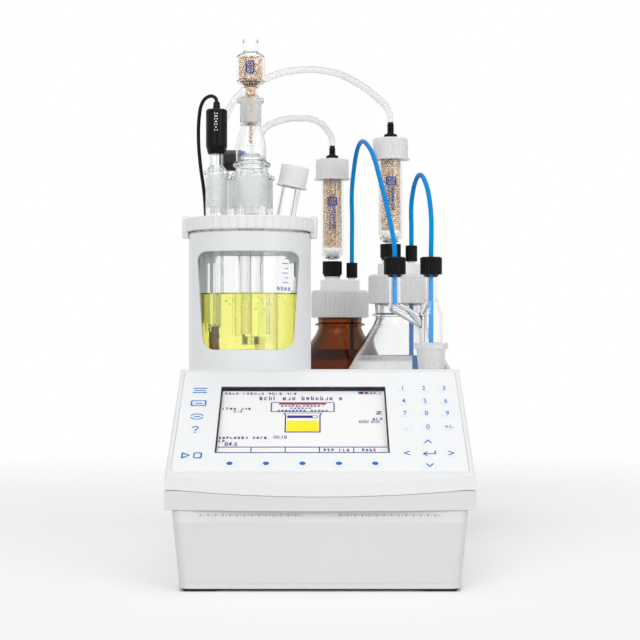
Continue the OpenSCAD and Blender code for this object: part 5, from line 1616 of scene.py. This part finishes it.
    def build(self) -> None:
        """Dresses the console."""
        dress(Palette.case, "upper_housing")
        dress(Palette.case_lower, "lower_housing")
        dress(Palette.overlay, "keypad_overlay")
        dress(Palette.lens, "display_lens")
        dress(Palette.bezel, "display_bezel")
        dress(Palette.nickel, "display_module", "rear_sockets")
        dress(Palette.circuit, "key_board", "main_board")
        dress(Palette.rear, "rear_panel")
        dress(Palette.black, "power_socket", "switch_frame", "power_switch", "air_pump")
        dress(Palette.motor, "stirrer_motor")
        dress(Palette.rotor, "magnet_rotor")
        dress(Palette.nozzle, "air_nozzles")
        dress(Palette.feet, "feet")
        dress(Palette.steel, "case_screws")
        self.legends()
        self.display()
        self.skirt()
        self.pads()
        self.vents()
        LOG.info("console is dressed")


# ---------------------------------------------------------------- titration cell


@dataclass
class TitrationCell:
    """Holder, glass vessel with its solution, lid with necks, lock ring, stopper and septum."""

    axis: Pair = (-54.0, 190.0)
    inner: float = 39.5
    glass: float = 2.5
    mark_z: float = 208.0
    floor: float = 151.0
    level: float = 199.4
    corner: float = 6.5
    gap: float = 0.15
    bubble_count: int = 46
    bubble_reach: float = 27.0
    bubble_depth: float = 15.0
    bubble_sizes: Pair = (0.35, 0.95)

    def solution(self) -> None:
        """The stirred solution, with the meniscus that climbs the glass."""
        outer = self.inner - self.gap
        corner = self.corner - self.gap
        low = self.floor + self.gap
        profile = [(0.0, low), (outer - corner, low)]
        for step in range(1, 7):
            angle = math.radians(-90 + 15 * step)
            profile.append((outer - corner + corner * math.cos(angle), low + corner + corner * math.sin(angle)))
        for inward, climb in ((0.0, 1.1), (0.25, 0.65), (0.8, 0.25), (1.8, 0.05), (3.5, 0.0)):
            profile.append((outer - inward, self.level + climb))
        profile += [(20.0, self.level - 0.1), (0.0, self.level - 0.5)]
        piece = Modeller.turned("titration_solution", profile, self.axis, 96, 50)
        settle(piece, Palette.solution)

    def bubbles(self) -> None:
        """Small air bubbles that the stirring draws under the surface."""
        draw = random.Random(5)
        made: list[bpy.types.Object] = []
        for number in range(self.bubble_count):
            reach, angle = self.bubble_reach * math.sqrt(draw.random()), draw.uniform(-2.9, -0.4)
            x, y = self.axis[0] + reach * math.cos(angle), self.axis[1] + reach * math.sin(angle)
            spot = place(x, y, self.level - 1.6 - self.bubble_depth * draw.random() ** 1.6)
            radius = draw.uniform(*self.bubble_sizes) * MM
            Modeller.fresh()
            bpy.ops.mesh.primitive_uv_sphere_add(segments=12, ring_count=8, radius=radius, location=spot)
            made.append(Modeller.named(f"bubble_{number}"))
        Modeller.joined(made)
        piece = Modeller.named("solution_bubbles")
        Modeller.settled()
        Modeller.smooth(piece, 180)
        settle(piece, Palette.bubble)

    def mark(self) -> None:
        """Level marks printed on the vessel."""
        mark = Drawing("vessel_level_marks", 0.03, 1.0)
        for step in range(6):
            mark.bar(28.0 + (step % 2) * 0.8, step * 3.6, 4.4 - (step % 2) * 1.6, 0.55)
        mark.greeked(22.0, 33.0, -4.4, 3.4, 31, 0.5, 0.6)
        settle(mark.wrapped(self.axis, self.inner + self.glass + PRINT_GAP, self.mark_z), Palette.mark)

    def build(self) -> None:
        """Dresses the cell."""
        dress(Palette.holder, "cell_holder")
        dress(Palette.vessel, "cell_vessel")
        dress(Palette.bar, "stir_bar")
        dress(Palette.lid, "cell_lid")
        dress(Palette.gasket, "lid_gasket")
        dress(Palette.ring, "lock_ring")
        dress(Palette.septum, "septum")
        dress(Palette.cap, "septum_cap")
        dress(Palette.clear, "front_stopper")
        self.solution()
        self.bubbles()
        self.mark()
        LOG.info("cell is dressed")


# ---------------------------------------------------------------- beads


@dataclass
class BeadColumn:
    """A column of sieve beads: a shell of round beads about a dark brown body, painted shade that shows in the gaps
    between them.
    """

    name: str
    centre: Pair
    profile: Profile
    bead: float = 1.85
    seed: int = 1
    ball: float = 0.47

    def _inside(self, z: float) -> float:
        """Finds the radius of the column at a height.

        Args:
            z: the height.

        Returns:
            The radius there, or 0 outside the column.
        """
        for (r0, z0), (r1, z1) in zip(self.profile, self.profile[1:]):
            if z0 <= z <= z1 and z1 > z0:
                return r0 + (r1 - r0) * (z - z0) / (z1 - z0)
        return 0.0

    def spots(self) -> list[tuple[Vector, float]]:
        """Places the beads, row by row.

        Returns:
            Centre and tone of each bead.
        """
        draw = random.Random(self.seed)
        low, high = self.profile[0][1], self.profile[-1][1]
        rise, half = self.bead * 0.84, self.bead / 2
        found: list[tuple[Vector, float]] = []
        z = low + half
        row = 0
        while z < high - half:
            radius = min(self._inside(z + shift * self.bead) for shift in (0, -0.4, 0.4)) - half
            rings = [radius, radius - self.bead * 0.86] if radius > self.bead else [max(radius, 0.0)]
            if z + rise >= high - half or z < low + self.bead:
                inner = radius - self.bead * 1.75
                while inner > 0.3:
                    rings.append(inner)
                    inner -= self.bead * 0.92
            for ring in rings:
                count = max(1, int(2 * math.pi * ring / (self.bead * 1.01)))
                for number in range(count):
                    angle = 2 * math.pi * (number + 0.5 * (row % 2) + draw.uniform(-0.14, 0.14)) / count
                    reach = max(0.0, ring - draw.uniform(0, 0.16) * self.bead)
                    height = min(max(z + draw.uniform(-0.13, 0.13) * self.bead, low + half), high - half)
                    x, y = self.centre[0] + reach * math.cos(angle), self.centre[1] + reach * math.sin(angle)
                    found.append((place(x, y, height), draw.random()))
            z += rise
            row += 1
        return found

    @staticmethod
    def _ball(around: int = 7, up: int = 5) -> tuple[list[Vector], list[tuple[int, ...]]]:
        """Works out one small ball.

        Args:
            around: faces round it.
            up: faces from pole to pole.

        Returns:
            Its corners, one millimetre off the centre each, and its faces.
        """
        ball = [Vector((0, 0, -1))]
        for ring in range(1, up):
            pitch = math.pi * ring / up
            for step in range(around):
                turn = 2 * math.pi * step / around
                wide = math.sin(pitch)
                ball.append(Vector((wide * math.cos(turn), wide * math.sin(turn), -math.cos(pitch))))
        ball.append(Vector((0, 0, 1)))
        pairs = [(step, (step + 1) % around) for step in range(around)]
        faces: list[tuple[int, ...]] = [(0, 1 + after, 1 + step) for step, after in pairs]
        for ring in range(up - 2):
            low, high = 1 + ring * around, 1 + (ring + 1) * around
            faces += [(low + step, low + after, high + after, high + step) for step, after in pairs]
        top = 1 + (up - 2) * around
        faces += [(top + step, top + after, len(ball) - 1) for step, after in pairs]
        return ball, faces

    def mesh_of(self, spots: Sequence[tuple[Vector, float]]) -> bpy.types.Object:
        """Builds all beads as one mesh, each a small ball with its own tone.

        Args:
            spots: centre and tone of each bead.

        Returns:
            The piece.
        """
        ball, faces = self._ball()
        points: list[Vector] = []
        sides: list[tuple[int, ...]] = []
        tones: list[float] = []
        for spot, tone in spots:
            start = len(points)
            points += [spot + corner * (self.bead * self.ball * MM) for corner in ball]
            sides += [tuple(start + corner for corner in face) for face in faces]
            tones += [tone] * len(ball)
        mesh = bpy.data.meshes.new(self.name)
        mesh.from_pydata(points, [], sides)
        attribute = mesh.attributes.new("tone", "FLOAT", "POINT")
        attribute.data.foreach_set("value", tones)
        mesh.shade_smooth()
        mesh.update()
        piece = bpy.data.objects.new(self.name, mesh)
        bpy.context.scene.collection.objects.link(piece)
        return piece

    def build(self, body: str, replaces: Sequence[str]) -> None:
        """Fills the column.

        Args:
            body: the body that it rides on.
            replaces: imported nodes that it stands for.
        """
        settle(self.mesh_of(self.spots()), Palette.beads, body, replaces)
        # Painted shade: a dark brown body inside the shell, seen in the gaps between the beads.
        inset = self.bead * 0.62
        low, high = self.profile[0][1] + inset, self.profile[-1][1] - inset
        shade_core = [(0.0, low)]
        shade_core += [(max(radius - inset, 0.4), min(max(height, low), high)) for radius, height in self.profile]
        shade_core.append((0.0, high))
        settle(Modeller.turned(f"{self.name}_core", shade_core, self.centre, 32, 60), Palette.bead_shade, body)


# ---------------------------------------------------------------- generator and detector


@dataclass
class Electrodes:
    """Generator with its drying tube, and the detector."""

    axis: Pair = (-54.0, 200.0)
    tip: float = 316.0
    taper: float = 332.0
    body_low: float = 363.7
    body_high: float = 386.8
    body_r: float = 10.9
    detector: Pair = (-79.4, 184.0)
    head_r: float = 8.2
    tube_mark: float = 371.2
    head_mark: float = 325.2

    def marks(self) -> None:
        """Printed square on the drying tube, and strokes up the detector's head."""
        square = Drawing("drying_tube_mark", 0.03, 1.0)
        square.box((-2.9, 0.0), (2.9, 8.6), 1.1)
        for step in range(4):
            square.bar(0.0, 1.9 + step * 1.65, 3.6 - (step % 2) * 1.2, 0.75)
        printed = square.wrapped(self.axis, self.body_r + PRINT_GAP, self.tube_mark)
        settle(printed, Palette.mark, "drying_tube")
        strokes = Drawing("detector_head_mark", 0.03, 1.0)
        for step, wide in enumerate((2.6, 0.9, 2.6, 1.8, 2.6, 2.2, 2.6)):
            strokes.bar(0.0, step * 2.1, wide, 1.0)
        printed = strokes.wrapped(self.detector, self.head_r + PRINT_GAP, self.head_mark)
        settle(printed, Palette.mark_white)

    def build(self) -> None:
        """Dresses the electrodes and fills the drying tube."""
        dress(Palette.ground, "generator_glass")
        dress(Palette.plug, "generator_plug")
        dress(Palette.platinum, "platinum_parts")
        dress(Palette.tube, "drying_tube")
        dress(Palette.ground, "detector_stem")
        dress(Palette.gloss, "detector_head")
        low, high, inner = self.body_low, self.body_high, self.body_r - 1.3
        bore = [
            (2.1, self.tip + 1.1), (2.1, self.taper), (4.5, self.taper + 2.1), (4.5, low - 2.1),
            (inner - 1.4, low + 0.9), (inner, low + 2.5), (inner, high - 2.5), (inner - 1.6, high - 1.2),
        ]
        column = BeadColumn("drying_tube_beads", self.axis, bore, seed=7)
        column.build("drying_tube", ("drying_beads",))
        self.marks()
        LOG.info("electrodes are dressed")


# ---------------------------------------------------------------- bottles


class BottleKind(Enum):
    """The two bottles."""

    AMBER = "amber"
    CLEAR = "clear"


@dataclass
class ReagentBottle:
    """A bottle with its insert, screw ring, drier and nuts."""

    kind: BottleKind
    axis: Pair
    radius: float
    neck: float
    drier: Pair
    barb: float
    level: float
    mark_z: float
    shoulder: float = 128.0
    wall: float = 2.4
    bottom: float = 3.0
    corner: float = 5.0
    turn: float = 10.0
    neck_r: float = 22.5
    mouth_r: float = 17.0
    gap: float = 0.15
    drier_dx: float = -7.2
    drier_r: float = 10.5
    cap_r: float = 15.4
    seed: int = 1

    def liquid(self) -> None:
        """The solvent up to its level, with a small meniscus."""
        wall, low = self.radius - self.wall - self.gap, self.bottom + self.gap
        corner, foot = self.corner, self.bottom + self.corner
        profile = [(0.0, low), (self.radius - foot, low)]
        for step in range(1, 6):
            angle = math.radians(-75 + 15 * step)
            profile.append((wall - corner + corner * math.cos(angle), foot + self.gap + corner * math.sin(angle)))
        cone = [(wall, self.shoulder)]
        for step in range(3):
            angle = math.radians(10 + 25 / 3 * (step + 1))
            inner = self.turn - self.wall - self.gap
            reach, rise = inner * math.cos(angle), inner * math.sin(angle)
            cone.append((self.radius - self.turn + reach, self.shoulder + rise))
        cone.append((self.neck_r - self.wall - 1.2 - self.gap, self.neck - 3))
        cone.append((self.mouth_r - self.gap, self.neck + 3))
        for (r0, z0), (r1, z1) in zip([(wall, 10.0)] + cone, cone):
            if z1 <= self.level:
                profile.append((r1, z1))
            elif z0 < self.level:
                share = (self.level - z0) / (z1 - z0)
                profile.append((r0 + (r1 - r0) * share, self.level))
        edge = profile[-1][0]
        for reach, drop in ((edge - 0.6, 0.5), (edge - 1.8, 0.85), (edge * 0.5, 1.0), (0.0, 1.0)):
            profile.append((reach, self.level - drop))
        piece = Modeller.turned(f"{self.kind.value}_bottle_liquid", profile, self.axis, 96, 50)
        finish = Palette.waste if self.kind is BottleKind.AMBER else Palette.solvent
        settle(piece, finish)

    def drier_axis(self) -> Pair:
        """Axis of the drier."""
        return (self.axis[0] + self.drier_dx, self.axis[1])

    def cap(self, replaces: Sequence[str]) -> None:
        """Drier cap with its fine grip ribs, skirt and hose barb.

        Args:
            replaces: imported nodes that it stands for.
        """
        low, high = self.drier
        inner, outer = self.drier_r + 0.15, self.cap_r - 0.35
        base = high - 17
        barb: list[Pair] = [(3.4, high + 6.0)]
        z = high + 6.0
        while z + 2.6 < self.barb:
            barb += [(3.3, z + 0.5), (2.5, z + 2.2)]
            z += 2.3
        profile = [
            (inner, base), (self.cap_r + 1.3, base), (self.cap_r + 1.6, base + 0.3), (self.cap_r + 1.6, base + 0.9),
            (self.cap_r + 1.2, base + 1.3), (outer, base + 1.7), (outer, high + 1.0), (outer - 0.3, high + 1.7),
            (outer - 1.1, high + 2.1), (7.4, high + 2.2), (6.2, high + 2.4), (6.0, high + 3.0),
            (4.0, high + 3.0), (4.0, high + 0.4), (inner - 0.1, high + 0.4), (inner, base),
        ]
        piece = Modeller.turned(f"{self.kind.value}_drier_cap", profile, self.drier_axis(), 120, 28)
        Modeller.ribbed(piece, self.drier_axis(), (base + 2.2, high + 0.9), outer - 0.3, 0.34)
        Modeller.smooth(piece, 28)
        settle(piece, Palette.cap, ROOT_BODY, replaces)
        foot = ((3.9, 0.5), (3.9, 2.6), (5.6, 2.9), (5.8, 3.2), (5.8, 5.0), (5.3, 5.6))
        outline = [(reach, high + rise) for reach, rise in foot] + barb
        outline += [(2.4, self.barb), (1.3, self.barb), (1.3, high + 0.5), (3.9, high + 0.5)]
        spigot = Modeller.turned(f"{self.kind.value}_drier_spigot", outline, self.drier_axis(), 48, 28)
        settle(spigot, Palette.black)

    def mark(self) -> None:
        """Printed mark on the drier's glass: a plain square with strokes in it, and two columns of small strokes."""
        mark = Drawing(f"{self.kind.value}_drier_mark", 0.03, 1.0)
        mark.box((-4.0, 24.0), (4.0, 31.0), 1.0)
        for step in range(4):
            mark.bar(-2.6 + step * 1.75, 27.5, 0.7, 5.2 - (step % 2) * 2.0)
        draw = random.Random(self.seed + 5)
        for x, width in ((-2.1, 1.5), (1.6, 3.4)):
            t = 22.0
            while t > 1.0:
                tall = draw.choice((0.8, 1.1, 1.5))
                mark.bar(x + draw.uniform(-0.3, 0.3), t, width * draw.uniform(0.6, 1.0), tall * 0.7)
                t -= tall + 0.45
        settle(mark.wrapped(self.drier_axis(), self.drier_r + PRINT_GAP, self.mark_z), Palette.mark)

    def beads(self, replaces: Sequence[str]) -> None:
        """Fills the drier: a plug of cotton, and beads on it.

        Args:
            replaces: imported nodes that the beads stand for.
        """
        low, high = self.drier
        inner = self.drier_r - 1.35
        shape = ((0.0, 2.95), (5.6, 2.95), (7.9, 5.9), (8.8, 9.0), (8.6, 10.6), (6.4, 11.6), (0.0, 11.9))
        cotton = [(reach, low + rise) for reach, rise in shape]
        plug = Modeller.turned(f"{self.kind.value}_drier_cotton", cotton, self.drier_axis(), 48, 60)
        settle(plug, Palette.cotton)
        profile = [(inner, low + 10.8), (inner, high - 2.0)]
        column = BeadColumn(f"{self.kind.value}_drier_beads", self.drier_axis(), profile, seed=self.seed)
        column.build(ROOT_BODY, replaces)

    def build(self) -> None:
        """Dresses the bottle."""
        kind = self.kind.value
        dress(Palette.amber if self.kind is BottleKind.AMBER else Palette.bottle, f"{kind}_bottle")
        dress(Palette.insert, f"{kind}_insert")
        dress(Palette.screw, f"{kind}_screw_ring")
        dress(Palette.black, f"{kind}_drier_nut", f"{kind}_hose_nut")
        self.liquid()
        self.cap(("drier_caps",))
        self.beads(("drier_beads",))
        self.mark()
        LOG.info("%s bottle is dressed", kind)


BOTTLES = (
    ReagentBottle(
        kind=BottleKind.AMBER,
        axis=(18.7, 454.0),
        radius=47.5,
        neck=172.0,
        drier=(238.5, 330.0),
        barb=345.0,
        level=154.0,
        mark_z=265.0,
        seed=21,
    ),
    ReagentBottle(
        kind=BottleKind.CLEAR,
        axis=(69.6, 370.0),
        radius=50.5,
        neck=180.0,
        drier=(249.2, 339.7),
        barb=356.0,
        level=150.0,
        mark_z=276.0,
        seed=22,
    ),
)


@dataclass
class ExchangeAdapter:
    """Glass adapter with two capped necks, parked in its socket."""

    def build(self) -> None:
        """Dresses the adapter."""
        dress(Palette.clear, "adapter_glass")
        dress(Palette.black, "adapter_cap_left", "adapter_cap_right")
        dress(Palette.frosted, "parking_socket")
        dress(Palette.tube, "drier_glass")
        LOG.info("adapter is dressed")


def main() -> None:
    """Builds the scene in order: studio and hoses first, then each sub-assembly."""
    logging.basicConfig(level=logging.INFO, format="%(name)s: %(message)s")
    Studio().build()
    HoseSet().build()
    Console().build()
    TitrationCell().build()
    Electrodes().build()
    for bottle in BOTTLES:
        bottle.build()
    ExchangeAdapter().build()


if __name__ == "__main__":
    main()
